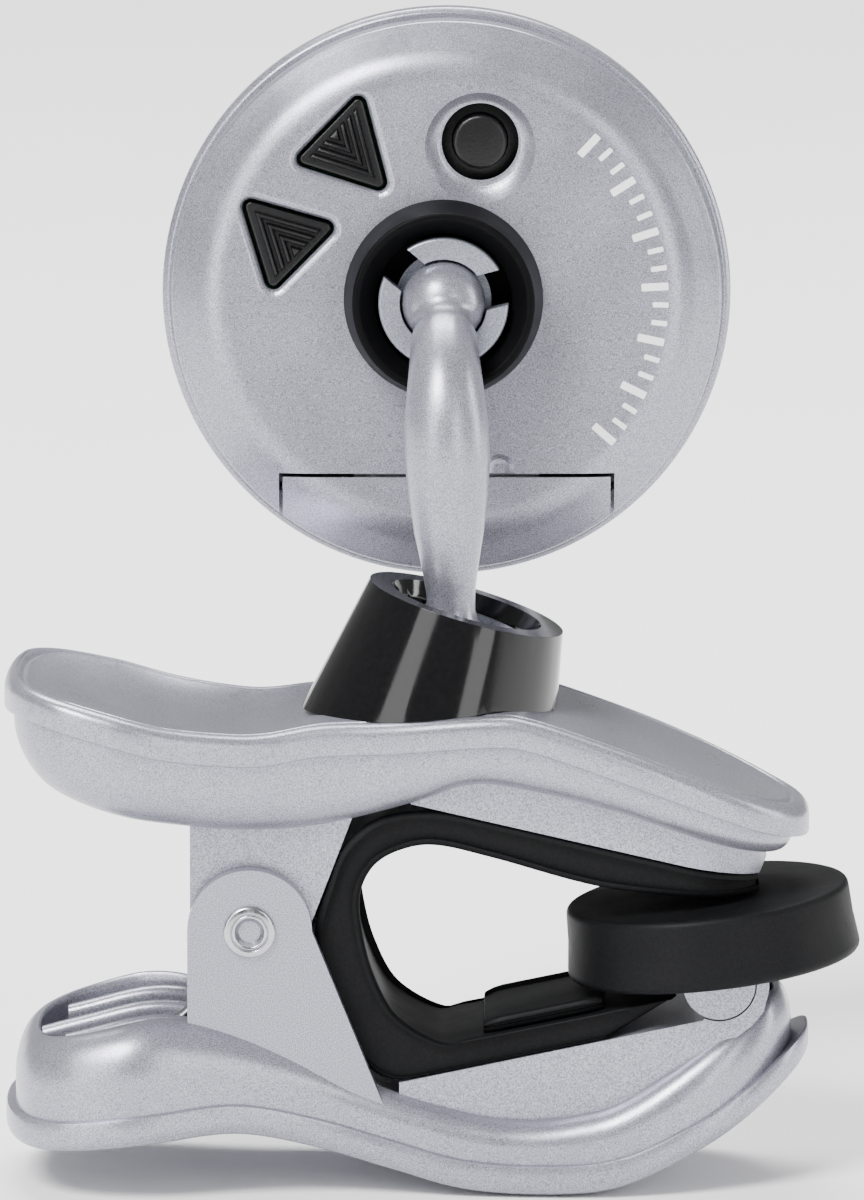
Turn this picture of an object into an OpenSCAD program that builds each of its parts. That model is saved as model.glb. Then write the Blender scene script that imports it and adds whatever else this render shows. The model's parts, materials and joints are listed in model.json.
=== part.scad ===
// Clip-on tuner: a round display head on a double-ball stem, carried by a sprung clip.
// Units are millimetres. The origin is the middle of the swivel pad's top face, between the jaws.
// +X points out of the jaws, +Y is the way the display faces, +Z runs up towards the head.

/* [Head] */
// Radius of the front bezel, the widest part of the head
bezel_r = 22.2; // [21.5:0.1:23]
// Thickness of the head's plastic walls
shell_wall = 1.2; // [1:0.1:1.4]
// Depth of the finger recesses round the two triangular buttons
recess_depth = 0.5; // [0.2:0.1:0.7]
// Width of the battery door
door_width = 26.1; // [25.5:0.1:26.5]

/* [Ball joints] */
// Radius of the two balls
ball_r = 3.25; // [3.1:0.05:3.3]
// Radial gap between a ball and its socket
ball_gap = 0.05; // [0.02:0.01:0.08]
// Lean of the clip's socket towards the jaws
clip_socket_lean = 16; // [10:1:18]

/* [Clip] */
// Half width of the levers at the thumb plates
thumb_half_w = 12.9; // [12:0.1:13.5]
// Half width of the levers at the waist
waist_half_w = 9.8; // [9.7:0.1:10.2]
// Half width of the levers at the jaws
jaw_half_w = 10.4; // [10:0.1:11]
// Radius of the hinge pin's shank
pin_r = 1.3; // [1.1:0.1:1.5]
// Turns of the torsion spring
spring_turns = 5; // [4:1:6]

/* [Display] */
// Part to draw, or all of them

/* [Hidden] */
$fn = 96;
SMALL_FN = 48;
FAR = 60;

// Colours
SILVER = [0.72, 0.72, 0.76];
STEEL = [0.8, 0.8, 0.82];
BLACK = [0.05, 0.05, 0.05];
RUBBER = [0.12, 0.12, 0.13];
BRASS = [0.8, 0.66, 0.35];
BOARD = [0.1, 0.35, 0.2];

// Lever side lines, as [x, z] from the thumb end to the jaw tip
cover_band = 2.4;
upper_cover_top = [
    [-54, 18], [-51.7, 17.7], [-45.8, 16.2], [-41.5, 15.05], [-37, 14.4], [-33.8, 14.3],
    [-29.5, 14.9], [-24, 15.05], [-16.6, 15.6], [-13.2, 15.25], [-6.3, 12.9], [-0.5, 10.6],
    [5, 8.3], [8.1, 7.3]
];
upper_body_bottom = [
    [-53.6, 14.2], [-50.1, 10.3], [-45.8, 8.1], [-41.5, 7.2], [-37.1, 6.6], [-32.7, 6.5],
    [-28.4, 7], [-21.9, 8.7], [-18.9, 9.8], [-15.5, 9.9], [-7.4, 8.1], [0.6, 5.3],
    [5.7, 3.9], [7.6, 4.3]
];
lower_cover_bottom = [
    [-53.6, -18.4], [-50.1, -18.25], [-41.5, -17.3], [-36, -16.9], [-30.6, -18], [-24, -20],
    [-18.5, -21.5], [-12, -21.9], [-6.5, -21.3], [-1.1, -18.9], [3.2, -16.3], [8.2, -12.4]
];
lower_body_top = [
    [-53.3, -12.5], [-51.7, -10.2], [-48, -9.5], [-42.7, -8.2], [-38.2, -8.7], [-31.7, -10.8],
    [-25.1, -13.8], [-18.5, -15.8], [-14.2, -16.4], [-9.8, -16], [-5.5, -14.5], [3.2, -8.7],
    [5.5, -7.2], [7.2, -8.4]
];
curve_steps = 3;
body_inset = 0.15;

// Lever plan: distance from the middle line, as [x, half width]
lever_plan = [
    [-54, 9], [-53.2, 11.4], [-50.5, thumb_half_w - 0.2], [-45, thumb_half_w],
    [-38, thumb_half_w - 1.3], [-30, waist_half_w + 0.2], [-24, waist_half_w],
    [-15, jaw_half_w - 0.2], [-7, jaw_half_w], [-1.5, jaw_half_w - 0.4], [3.5, 7.9], [7, 4.4],
    [8.2, 1.2]
];
lever_wall = 1.4;
lever_floor = 1.2;
heel_pocket = [-51.5, -27.5];
jaw_pocket = [-20, 2];
rib_y = [-5.5, 0, 5.5];
rib_w = 1.2;
rib_drop = 0.6;

// Hinge
pin = [-35, -1.3];
pin_gap = 0.05;
pin_head_r = 2;
pin_head_h = 0.5;
pin_dimple_r = 1.3;
pin_dimple_h = 0.4;
lower_ear_r = 4.8;
lower_ear_in = 7.6;
upper_ear_r = 4.6;
upper_ear_in = 6;
ear_t = 1.4;

// Torsion spring
coil_r = 2.35;
wire_r = 0.42;
coil_half_l = 3.3;
spring_leg_x = -10;
spring_leg_up = 12.5;
spring_leg_down = -12;
coil_steps = 24;
wire_sides = 10;

// Jaw lining
liner_half_w = 7.5;
raised_half_w = 6.2;
raised_h = 1.15;
carrier_upper = [[-22.6, 8.4], [4.3, 2.15]];
carrier_upper_tip = [4.9, 3.2];
carrier_lower = [[-23.5, -13.5], [-2, -9]];
liner_split_x = -20.2;
liner_upper_under = [[-20.2, 5.1], [-8.7, 1.9], [4.1, 0.75], [4.6, 1.3]];
liner_lower_rise = 2.3;
liner_lower_end = -3.2;
raised_x = [-17.1, -7.6];
bend_outer = [
    [-20.2, 7.84], [-24.6, 6.9], [-27.3, 4.6], [-28.6, 1], [-28.5, -3], [-27.4, -6.9],
    [-25.6, -9.9], [-23, -12], [-20.2, -12.81]
];
bend_inner = [
    [-20.2, -10.51], [-22.6, -9.3], [-24.7, -7], [-26, -3.25], [-26.6, 0.6], [-25.7, 3.4],
    [-23.4, 4.8], [-20.2, 5.1]
];

// Swivel pad
pad_tilt = 6.5;
pad_top_r = 10.97;
pad_foot_r = 11.45;
pad_h = 5.6;
pad_x = 0.3;
barrel = [1.16, -5.75];
barrel_r = 2.85;
barrel_half_l = 7.5;
barrel_gap = 0.06;
saddle_r = 3.85;
saddle_open = 66;
pocket_r = 4.4;
pocket_half_l = 8.2;
neck_w = 1.6;
neck_half_l = 5;
plate_r = 6.5;
plate_h = 0.8;
plate_z = -1.5;

// Sockets, along an axis through the ball's centre
cup_r = 5.05;
cup_lip = 1;
cup_shoulder = -1.4;
cup_foot_r = 2.4;
cup_foot = -3.8;
cup_room = 0.25;
cup_overlap = 0.2;
slot_w = 2.2;
slot_floor = -1.3;
slot_angles = [15, 140, 260];
shaft_r = 1.6;
shaft_gap = 0.05;

// Stem
clip_ball = [-19.4, 0, 18.8];
stem_lean = 1.5;
stem_rise = 26.06;
stem_reach = 8.4;
stem_drop = 32;
elbow_r = 8;
core_r = 2.8;
core_l = 0.4;
stem_r = 3.1;
neck_r = 1.8;
neck_top = 4.6;
belly = [[9.6, 2.6], [13.5, 3.1]];
clip_collar_base = -3.54;
clip_collar_top = 4;
clip_collar_r = [9.3, 7.75];
clip_collar_mouth = 6;
clip_shaft_l = 1.6;

// Head, seen from behind: x right, y up, z out of the back
ball_to_head = [0.25, 0.1, -3.4];
head_pitch = 5;
plateau_r = 18.2;
bevel_drop = 2;
shell_r = bezel_r - 0.8;
shell_depth = 7;
collar_h = 5;
collar_r = [7.75, 7.05];
collar_mouth = 6.5;
head_shaft_l = 0.75;
button_a = [[-6.67, 15.8], [-11.7, 10.6], [-4.73, 8.37]];
button_b = [[-8.68, 5.58], [-13.64, 0.54], [-15.8, 7.6]];
button_corner = 0.7;
button_edge = 0.15;
recess_edge = 0.75;
button_top = -0.15;
flange_edge = 0.75;
flange_z = [-1.35, -1.9];
plunger_end = -3.6;
plunger_r = 0.9;
ridge_h = 0.2;
ridge_w = 0.65;
ridge_pitch = 1.35;
ridge_count = 4;
power_at = [2.6, 12.1];
power_dish_r = 4.2;
power_dish_depth = 0.8;
power_dish_drop = 0.45;
power_dish_floor_r = 3.65;
power_hole_r = 3;
power_r = 2.1;
power_flange_r = 3.5;
power_top = -0.45;
door_top = -13.7;
door_gap = 0.1;
door_floor = -6.1;
rail_x = [9.6, 11.3];
rail_top = -11.4;
rail_z = [-1.35, -2.15];
notch_at = [4.1, -13.4];
notch_r = 1.2;
notch_depth = 0.5;
boss_r = 1.6;
boss_at = [[-0.6, 16.5], [-14.86, -6.93], [14.86, -6.93]];
pilot_r = 0.6;
screw_z = [-2.4, -6.6];
screw_head_r = 1.2;
screw_head_h = 0.55;
cell_at = [0, -7];
cell_r = 10;
cell_can_r = 9.3;
cell_z = [-5, -1.8];
cell_cap_h = 0.7;
board_r = 19.3;
board_z = [-6.6, -5.6];
board_hole_r = 0.7;
panel = [26, 20];
panel_z = [-8.9, -6.6];
lens_r = 18.9;
lens_z = [-10.3, -9.3];
bezel_z = [-10.4, -7];
bezel_bore_r = 18;
bezel_edge = 0.4;
spigot_r = [18.8, 19.9];
spigot_h = 0.35;
lens_gap = 0.05;
piezo_at = [8.6, 3.2];
piezo_r = 5;
piezo_h = 0.2;
ceramic_r = 3.6;
ceramic_h = 0.2;
switch_size = 3;
switch_h = 1;
switch_top_r = 0.8;
switch_top_h = 0.35;
contact_w = 4;
contact_t = 0.3;

function smooth_at(a, b, c, d, t) =
    0.5 * (2 * b + (c - a) * t + (2 * a - 5 * b + 4 * c - d) * t * t
        + (3 * b - a - 3 * c + d) * t * t * t);
function smooth(pts) = [
    for (i = [0:len(pts) - 2], s = [0:curve_steps - 1])
        smooth_at(pts[max(i - 1, 0)], pts[i], pts[i + 1], pts[min(i + 2, len(pts) - 1)],
            s / curve_steps),
    pts[len(pts) - 1]
];
function lifted(pts, dz) = [for (p = pts) [p.x, p.y + dz]];
function backwards(pts) = [for (i = [len(pts) - 1:-1:0]) pts[i]];
function between(pts, xs) = [for (p = pts) if (p.x > xs[0] && p.x < xs[1]) p];
function along(line, x) =
    line[0].y + (line[1].y - line[0].y) * (x - line[0].x) / (line[1].x - line[0].x);
function middle(p) = (p[0] + p[1] + p[2]) / 3;
function unit(v) = v / norm(v);

// An outline in x and z, drawn across the part from -half_w to half_w
module across(half_w) {
    rotate([90, 0, 0])
        linear_extrude(height = 2 * half_w, center = true)
            children();
}

module slab(outline, half_w) {
    across(half_w)
        polygon(outline);
}

// A cylinder across the part, centred on a point in x and z
module cross_bar(at, r, half_l) {
    translate([at.x, 0, at.y])
        rotate([90, 0, 0])
            cylinder(r = r, h = 2 * half_l, center = true);
}

module both_sides(inner, thick) {
    for (side = [-1, 1])
        translate([0, side * (inner + thick / 2), 0])
            children();
}

module at_clip_ball() {
    translate(clip_ball)
        rotate([0, clip_socket_lean, 0])
            children();
}

module at_stem() {
    translate(clip_ball)
        rotate([0, -stem_lean, 0])
            children();
}

// Head axes: x right, y up, z out of the back. The origin is the middle of the flat back.
module at_head() {
    at_stem()
        translate([0, stem_reach, stem_rise])
            rotate([0, stem_lean, 0])
                rotate([90 - head_pitch, 0, 0])
                    translate(ball_to_head)
                        children();
}

module lever_plan_shape(inset) {
    line = smooth(lever_plan);
    far_line = [for (p = backwards(line)) [p.x, -p.y]];
    linear_extrude(height = 2 * FAR, center = true)
        offset(delta = -inset)
            polygon(concat(line, far_line));
}

module lever_shape(outline, inset) {
    intersection() {
        slab(outline, FAR / 2);
        lever_plan_shape(inset);
    }
}

// The room inside a lever body, open on the side that faces the other lever
module lever_pocket(line, span, side) {
    roof = between(line, span);
    last = len(roof) - 1;
    outline = concat([[roof[0].x, side * FAR]], roof, [[roof[last].x, side * FAR]]);
    lever_shape(outline, body_inset + lever_wall);
}

module heel_ribs(line, rim, side) {
    edge = between(line, heel_pocket);
    top = between(lifted(rim, side * -rib_drop), heel_pocket);
    for (y = rib_y)
        translate([0, y, 0])
            slab(concat(lifted(edge, side * -0.3), backwards(top)), rib_w / 2);
}

upper_line = smooth(upper_cover_top);
upper_seam = lifted(upper_line, -cover_band);
upper_rim = smooth(upper_body_bottom);
lower_line = smooth(lower_cover_bottom);
lower_seam = lifted(lower_line, cover_band);
lower_rim = smooth(lower_body_top);

module upper_body_solid() {
    lever_shape(concat(upper_seam, backwards(upper_rim)), body_inset);
}

module lower_body_solid() {
    lever_shape(concat(lower_seam, backwards(lower_rim)), body_inset);
}

// The outside of a socket cup, with room all round
module cup_room_shape(room) {
    rotate_extrude()
        polygon([
            [0, cup_foot - room], [cup_foot_r + room, cup_foot - room],
            [cup_r + room, cup_shoulder - room], [cup_r + room, FAR], [0, FAR]
        ]);
}

module shaft_room(length) {
    translate([0, 0, cup_foot - length - 0.1])
        cylinder(r = shaft_r + shaft_gap, h = length + 1);
}

module socket_cup(length) {
    difference() {
        union() {
            rotate_extrude()
                polygon([
                    [0, cup_foot], [cup_foot_r, cup_foot], [cup_r, cup_shoulder],
                    [cup_r, cup_lip], [0, cup_lip]
                ]);
            translate([0, 0, cup_foot - length])
                cylinder(r = shaft_r, h = length + cup_overlap, $fn = SMALL_FN);
        }
        sphere(r = ball_r + ball_gap);
        for (a = slot_angles)
            rotate([0, 0, a])
                translate([0, -slot_w / 2, slot_floor])
                    cube([FAR, slot_w, FAR]);
    }
}

module upper_lever_cover() {
    color(SILVER)
        difference() {
            lever_shape(concat(upper_line, backwards(upper_seam)), 0);
            thumb_dish(1);
            at_clip_ball()
                cup_room_shape(cup_room);
            at_clip_ball()
                shaft_room(clip_shaft_l);
        }
}

// A shallow hollow for the thumb in the outer face of a cover
module thumb_dish(side) {
    dish_r = 36;
    dish_x = -44.5;
    dish_z = side > 0 ? 50.9 : -52.6;
    translate([dish_x, 0, dish_z])
        sphere(r = dish_r);
}

module upper_lever_body() {
    color(SILVER)
        difference() {
            union() {
                difference() {
                    upper_body_solid();
                    lever_pocket(lifted(upper_seam, -lever_floor), heel_pocket, -1);
                    lever_pocket(lifted(upper_seam, -lever_floor), jaw_pocket, -1);
                }
                intersection() {
                    upper_body_solid();
                    heel_ribs(lifted(upper_seam, -lever_floor), upper_rim, -1);
                }
                both_sides(upper_ear_in, ear_t)
                    upper_ear();
            }
            cross_bar(pin, pin_r + pin_gap, FAR / 2);
            at_clip_ball()
                shaft_room(clip_shaft_l);
        }
}

module upper_ear() {
    foot_z = 8.4;
    cross_bar(pin, upper_ear_r, ear_t / 2);
    slab([
        [pin.x - upper_ear_r, pin.y], [pin.x - upper_ear_r, foot_z], [-27.2, foot_z],
        [pin.x + upper_ear_r, pin.y]
    ], ear_t / 2);
}

module lower_ear() {
    cross_bar(pin, lower_ear_r, ear_t / 2);
    slab([
        [pin.x - lower_ear_r, pin.y], [pin.x - lower_ear_r, -11], [-25, -14.8],
        [pin.x + lower_ear_r, pin.y]
    ], ear_t / 2);
}

module upper_jaw_carrier() {
    color(SILVER)
        difference() {
            slab(concat(carrier_upper, [
                carrier_upper_tip, [3, 6], [-6, 9], [-15, 11], [-22.6, 9.4]
            ]), liner_half_w);
            upper_body_solid();
            carrier_tip_cut();
        }
}

// Rounds the corners of a jaw piece at the tip, seen from above
module carrier_tip_cut() {
    tip_r = 7.6;
    difference() {
        translate([-2.6, -FAR / 2, -FAR / 2])
            cube([FAR, FAR, FAR]);
        translate([-2.6, 0, 0])
            cylinder(r = tip_r, h = 2 * FAR, center = true);
    }
}

module clip_socket_collar() {
    height = clip_collar_top - clip_collar_base;
    extra = 4;
    taper = (clip_collar_r[0] - clip_collar_r[1]) / height;
    below = concat(upper_line, [[8.1, -FAR], [-54, -FAR]]);
    color(BLACK)
        difference() {
            at_clip_ball()
                difference() {
                    translate([0, 0, clip_collar_base - extra])
                        cylinder(
                            r1 = clip_collar_r[0] + taper * extra,
                            r2 = clip_collar_r[1],
                            h = height + extra
                        );
                    cup_room_shape(cup_room);
                    translate([0, 0, clip_collar_top - 1.5])
                        cylinder(r1 = cup_r + cup_room, r2 = clip_collar_mouth, h = 1.5);
                    shaft_room(clip_shaft_l);
                }
            slab(below, FAR / 2);
        }
}

module clip_socket_cup() {
    color(STEEL)
        at_clip_ball()
            socket_cup(clip_shaft_l);
}

module hinge_pin() {
    head_y = lower_ear_in + ear_t;
    color(STEEL)
        difference() {
            union() {
                cross_bar(pin, pin_r, head_y + pin_head_h / 2);
                both_sides(head_y, pin_head_h)
                    cross_bar(pin, pin_head_r, pin_head_h / 2);
            }
            for (side = [-1, 1])
                translate([pin.x, side * (head_y + pin_head_h), pin.y])
                    rotate([90 * side, 0, 0])
                        cylinder(r1 = pin_dimple_r, r2 = 0.3, h = pin_dimple_h);
        }
}

// Rings of points round a path that never runs along Y, joined into a closed tube
module wire(path, r, sides) {
    count = len(path);
    rings = [
        for (i = [0:count - 1])
            let (
                t = unit(path[min(i + 1, count - 1)] - path[max(i - 1, 0)]),
                n = unit(cross(t, [0, 1, 0])),
                b = cross(n, t)
            )
            for (k = [0:sides - 1])
                path[i] + r * (cos(360 * k / sides) * n + sin(360 * k / sides) * b)
    ];
    walls = [
        for (i = [0:count - 2], k = [0:sides - 1])
            let (k2 = (k + 1) % sides, a = i * sides, b = (i + 1) * sides)
            each [[a + k, a + k2, b + k2], [a + k, b + k2, b + k]]
    ];
    first = [for (k = [sides - 1:-1:0]) k];
    last = [for (k = [0:sides - 1]) (count - 1) * sides + k];
    polyhedron(points = rings, faces = concat(walls, [first, last]), convexity = 6);
}

module torsion_spring() {
    up = [spring_leg_x, spring_leg_up];
    down = [spring_leg_x, spring_leg_down];
    start = atan2(up.y, up.x) - acos(coil_r / norm(up));
    finish = atan2(down.y, down.x) + acos(coil_r / norm(down)) - 360 * spring_turns;
    steps = spring_turns * coil_steps;
    coil = [
        for (i = [0:steps])
            let (
                a = start + (finish - start) * i / steps,
                y = coil_half_l * (1 - 2 * i / steps)
            )
            [pin.x + coil_r * cos(a), y, pin.y + coil_r * sin(a)]
    ];
    color(STEEL)
        wire(concat(
            [[pin.x + up.x, coil_half_l, pin.y + up.y]],
            coil,
            [[pin.x + down.x, -coil_half_l, pin.y + down.y]]
        ), wire_r, wire_sides);
}

module lower_lever_cover() {
    color(SILVER)
        difference() {
            lever_shape(concat(lower_line, backwards(lower_seam)), 0);
            thumb_dish(-1);
        }
}

module lower_lever_body() {
    color(SILVER)
        difference() {
            union() {
                difference() {
                    lower_body_solid();
                    lever_pocket(lifted(lower_seam, lever_floor), heel_pocket, 1);
                    lever_pocket(lifted(lower_seam, lever_floor), jaw_pocket, 1);
                }
                intersection() {
                    lower_body_solid();
                    heel_ribs(lifted(lower_seam, lever_floor), lower_rim, 1);
                }
                both_sides(lower_ear_in, ear_t)
                    lower_ear();
            }
            cross_bar(pin, pin_r, FAR / 2);
            saddle_room();
        }
}

module saddle_room() {
    cross_bar(barrel, barrel_r + barrel_gap, barrel_half_l + 0.4);
}

module lower_jaw_carrier() {
    color(SILVER)
        difference() {
            union() {
                slab(concat(carrier_lower, [
                    [0.5, -9.2], [0.5, -13.5], [-6, -17], [-14, -18], [-20, -17], [-23.5, -15]
                ]), liner_half_w);
                cross_bar(barrel, saddle_r, liner_half_w);
            }
            lower_body_solid();
            saddle_room();
            saddle_mouth();
        }
}

// The gap in the saddle that lets the barrel's neck through
module saddle_mouth() {
    reach = 8;
    slab([
        [barrel.x, barrel.y],
        [barrel.x - reach * sin(saddle_open), barrel.y + reach * cos(saddle_open)],
        [barrel.x, barrel.y + reach],
        [barrel.x + reach * sin(saddle_open), barrel.y + reach * cos(saddle_open)]
    ], FAR / 2);
}

module liner_upper() {
    color(RUBBER)
        difference() {
            slab(concat(
                [[liner_split_x, along(carrier_upper, liner_split_x)]],
                liner_upper_under,
                [carrier_upper[1]]
            ), liner_half_w);
            carrier_tip_cut();
        }
}

module liner_bend() {
    color(RUBBER)
        slab(concat(smooth(bend_outer), smooth(bend_inner)), liner_half_w);
}

module liner_lower() {
    start_z = along(carrier_lower, liner_split_x);
    end_z = along(carrier_lower, liner_lower_end);
    raised_line = lifted(carrier_lower, liner_lower_rise);
    raised_start = along(raised_line, raised_x[0]);
    raised_end = along(raised_line, raised_x[1]);
    color(RUBBER)
        union() {
            slab([
                [liner_split_x, start_z], [liner_lower_end, end_z],
                [liner_lower_end, end_z + liner_lower_rise],
                [liner_split_x, start_z + liner_lower_rise]
            ], liner_half_w);
            slab([
                [raised_x[0], raised_start - 0.5], [raised_x[1], raised_end - 0.5],
                [raised_x[1] - 0.4, raised_end + raised_h - 0.1],
                [raised_x[0] + 0.4, raised_start + raised_h + 0.1]
            ], raised_half_w);
        }
}

module at_pad() {
    rotate([0, -pad_tilt, 0])
        translate([pad_x, 0, 0])
            children();
}

module pad_plate(room) {
    at_pad()
        translate([barrel.x - pad_x, 0, plate_z - plate_h - room])
            cylinder(r = plate_r + room, h = plate_h + 2 * room);
    at_pad()
        translate([0.1, -neck_half_l - room, barrel.y])
            cube([neck_w, 2 * (neck_half_l + room), plate_z - plate_h - barrel.y + 0.2]);
}

module pad_pivot_barrel() {
    color(SILVER)
        union() {
            cross_bar(barrel, barrel_r, barrel_half_l);
            pad_plate(0);
        }
}

module swivel_pad() {
    groove_depth = 0.5;
    groove_r = [3.2, 4.2, 8.2, 9.2];
    color(RUBBER)
        difference() {
            at_pad()
                translate([0, 0, -pad_h])
                    cylinder(r1 = pad_foot_r, r2 = pad_top_r, h = pad_h);
            cross_bar(barrel, pocket_r, pocket_half_l);
            pad_underside();
            pad_plate(0);
            at_pad()
                for (i = [0, 2])
                    translate([0, 0, -groove_depth])
                        difference() {
                            cylinder(r = groove_r[i + 1], h = 1);
                            cylinder(r = groove_r[i], h = 3, center = true);
                        }
        }
}

// Opens the barrel's pocket to the underside of the pad
module pad_underside() {
    translate([barrel.x - pocket_r, -pocket_half_l, barrel.y - 4])
        cube([2 * pocket_r, 2 * pocket_half_l, 4]);
}

module ball_stem() {
    elbow_y = stem_reach - elbow_r * (1 - sin(stem_drop));
    neck_l = elbow_y / cos(stem_drop);
    elbow_z = stem_rise - neck_l * sin(stem_drop) - elbow_r * cos(stem_drop);
    color(SILVER)
        at_stem() {
            sphere(r = ball_r);
            rotate_extrude()
                polygon([
                    [0, 0], [neck_r, 0], [neck_r, neck_top], belly_point(0), belly_point(1),
                    [stem_r, elbow_z], [core_r, elbow_z], [core_r, elbow_z + core_l],
                    [0, elbow_z + core_l]
                ]);
            translate([0, elbow_r, elbow_z])
                rotate([90, 0, -90])
                    rotate_extrude(angle = 90 - stem_drop)
                        translate([elbow_r, 0])
                            circle(r = stem_r);
            translate([0, stem_reach, stem_rise]) {
                sphere(r = ball_r);
                rotate([90 + stem_drop, 0, 0])
                    rotate_extrude()
                        polygon([
                            [0, 0], [neck_r, 0], [neck_r, ball_r + 0.3], [stem_r, neck_l],
                            [core_r, neck_l], [core_r, neck_l + core_l], [0, neck_l + core_l]
                        ]);
            }
        }
}

function belly_point(i) = [belly[i].y, belly[i].x];

// The shell's wall as one closed cap, before anything is cut in it
module shell_cap() {
    inner_r = shell_r - shell_wall;
    rotate_extrude()
        polygon([
            [0, 0], [plateau_r, 0], [shell_r, -bevel_drop], [shell_r, -shell_depth],
            [inner_r, -shell_depth], [inner_r, -bevel_drop - shell_wall / 2],
            [plateau_r - shell_wall / 2, -shell_wall], [0, -shell_wall]
        ]);
}

module triangle(points, edge) {
    offset(r = button_corner + edge, $fn = SMALL_FN)
        offset(delta = -button_corner)
            polygon(points);
}

module layer(from, to) {
    translate([0, 0, min(from, to)])
        linear_extrude(height = abs(to - from))
            children();
}

module door_window(gap) {
    half = door_width / 2 - gap;
    translate([-half, -FAR, door_floor])
        cube([2 * half, FAR + door_top - gap, FAR]);
}

module head_back_shell() {
    color(SILVER)
        at_head()
            difference() {
                union() {
                    shell_cap();
                    for (p = boss_at)
                        translate([p.x, p.y, board_z[1]])
                            cylinder(r = boss_r, h = -board_z[1] - 0.1, $fn = SMALL_FN);
                }
                door_window(0);
                for (points = [button_a, button_b]) {
                    layer(-recess_depth, 1)
                        triangle(points, recess_edge);
                    layer(-shell_wall - 1, 1)
                        triangle(points, button_edge);
                }
                power_recess();
                for (p = boss_at)
                    translate([p.x, p.y, board_z[1] - 1])
                        cylinder(r = pilot_r, h = 4.4, $fn = SMALL_FN);
                translate([notch_at.x, notch_at.y, -notch_depth])
                    cylinder(r = notch_r, h = 1);
                translate(-ball_to_head)
                    cup_room_shape(cup_room);
                translate(-ball_to_head)
                    shaft_room(head_shaft_l);
            }
}

module power_recess() {
    translate([power_at.x, power_at.y - power_dish_drop, -power_dish_depth])
        cylinder(r1 = power_dish_floor_r, r2 = power_dish_r, h = power_dish_depth);
    translate([power_at.x, power_at.y, -2])
        cylinder(r = power_hole_r, h = 3);
}

module head_front_bezel() {
    color(SILVER)
        at_head()
            difference() {
                union() {
                    rotate_extrude()
                        polygon([
                            [bezel_bore_r, bezel_z[1]],
                            [bezel_r - bezel_edge, bezel_z[1]],
                            [bezel_r, bezel_z[1] - bezel_edge],
                            [bezel_r, bezel_z[0] + bezel_edge],
                            [bezel_r - bezel_edge, bezel_z[0]],
                            [bezel_bore_r, bezel_z[0]]
                        ]);
                    translate([0, 0, bezel_z[1] - 0.1])
                        rotate_extrude()
                            polygon([
                                [spigot_r[0], 0], [spigot_r[1], 0],
                                [spigot_r[1], spigot_h + 0.1], [spigot_r[0], spigot_h + 0.1]
                            ]);
                }
                translate([0, 0, bezel_z[0] - 1])
                    cylinder(r = lens_r + lens_gap, h = lens_z[1] - bezel_z[0] + 1);
            }
}

module head_socket_collar() {
    color(BLACK)
        at_head()
            difference() {
                translate([-ball_to_head.x, -ball_to_head.y, 0])
                    cylinder(r1 = collar_r[0], r2 = collar_r[1], h = collar_h);
                translate(-ball_to_head)
                    cup_room_shape(cup_room);
                translate([-ball_to_head.x, -ball_to_head.y, collar_h - 1.6])
                    cylinder(r1 = cup_r + cup_room, r2 = collar_mouth, h = 1.6);
            }
}

module head_socket_cup() {
    color(STEEL)
        at_head()
            translate(-ball_to_head)
                socket_cup(head_shaft_l);
}

module display_lens() {
    color([0.1, 0.12, 0.14])
        at_head()
            translate([0, 0, lens_z[0]])
                cylinder(r = lens_r, h = lens_z[1] - lens_z[0]);
}

module display_panel() {
    color([0.3, 0.34, 0.32])
        at_head()
            translate([-panel.x / 2, -panel.y / 2, panel_z[0]])
                cube([panel.x, panel.y, panel_z[1] - panel_z[0]]);
}

module circuit_board() {
    color(BOARD)
        at_head()
            difference() {
                translate([0, 0, board_z[0]])
                    cylinder(r = board_r, h = board_z[1] - board_z[0]);
                for (p = boss_at)
                    translate([p.x, p.y, board_z[0] - 1])
                        cylinder(r = board_hole_r, h = 3, $fn = SMALL_FN);
            }
}

module board_screws() {
    color(STEEL)
        at_head()
            for (p = boss_at)
                translate([p.x, p.y, 0]) {
                    translate([0, 0, screw_z[1] - 0.1])
                        cylinder(r = pilot_r, h = screw_z[0] - screw_z[1] + 0.1, $fn = SMALL_FN);
                    translate([0, 0, screw_z[1] - screw_head_h])
                        cylinder(r = screw_head_r, h = screw_head_h, $fn = SMALL_FN);
                }
}

module piezo_sensor() {
    color(BRASS)
        at_head()
            translate([piezo_at.x, piezo_at.y, -shell_wall - piezo_h]) {
                cylinder(r = piezo_r, h = piezo_h);
                translate([0, 0, -ceramic_h])
                    cylinder(r = ceramic_r, h = ceramic_h + 0.05);
            }
}

module coin_cell() {
    color(STEEL)
        at_head()
            translate([cell_at.x, cell_at.y, 0]) {
                translate([0, 0, cell_z[0] + cell_cap_h])
                    cylinder(r = cell_r, h = cell_z[1] - cell_z[0] - cell_cap_h);
                translate([0, 0, cell_z[0]])
                    cylinder(r = cell_can_r, h = cell_cap_h + 0.1);
            }
}

// A tab that rises from the board and bears on the rim of the cell
module contact_positive() {
    foot = 2;
    color(STEEL)
        at_head()
            translate([-contact_w / 2, cell_at.y + cell_r, board_z[1]]) {
                cube([contact_w, contact_t, -board_z[1] + cell_z[1] - 0.3]);
                cube([contact_w, foot, contact_t]);
            }
}

// A strip on the board with a round stud that bears on the cell's cap
module contact_negative() {
    stud_r = 1.2;
    strip_l = 10;
    color(STEEL)
        at_head()
            translate([cell_at.x, cell_at.y, board_z[1]]) {
                translate([-strip_l / 2, -contact_w / 2, 0])
                    cube([strip_l, contact_w, contact_t]);
                cylinder(r = stud_r, h = cell_z[0] - board_z[1], $fn = SMALL_FN);
            }
}

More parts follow.
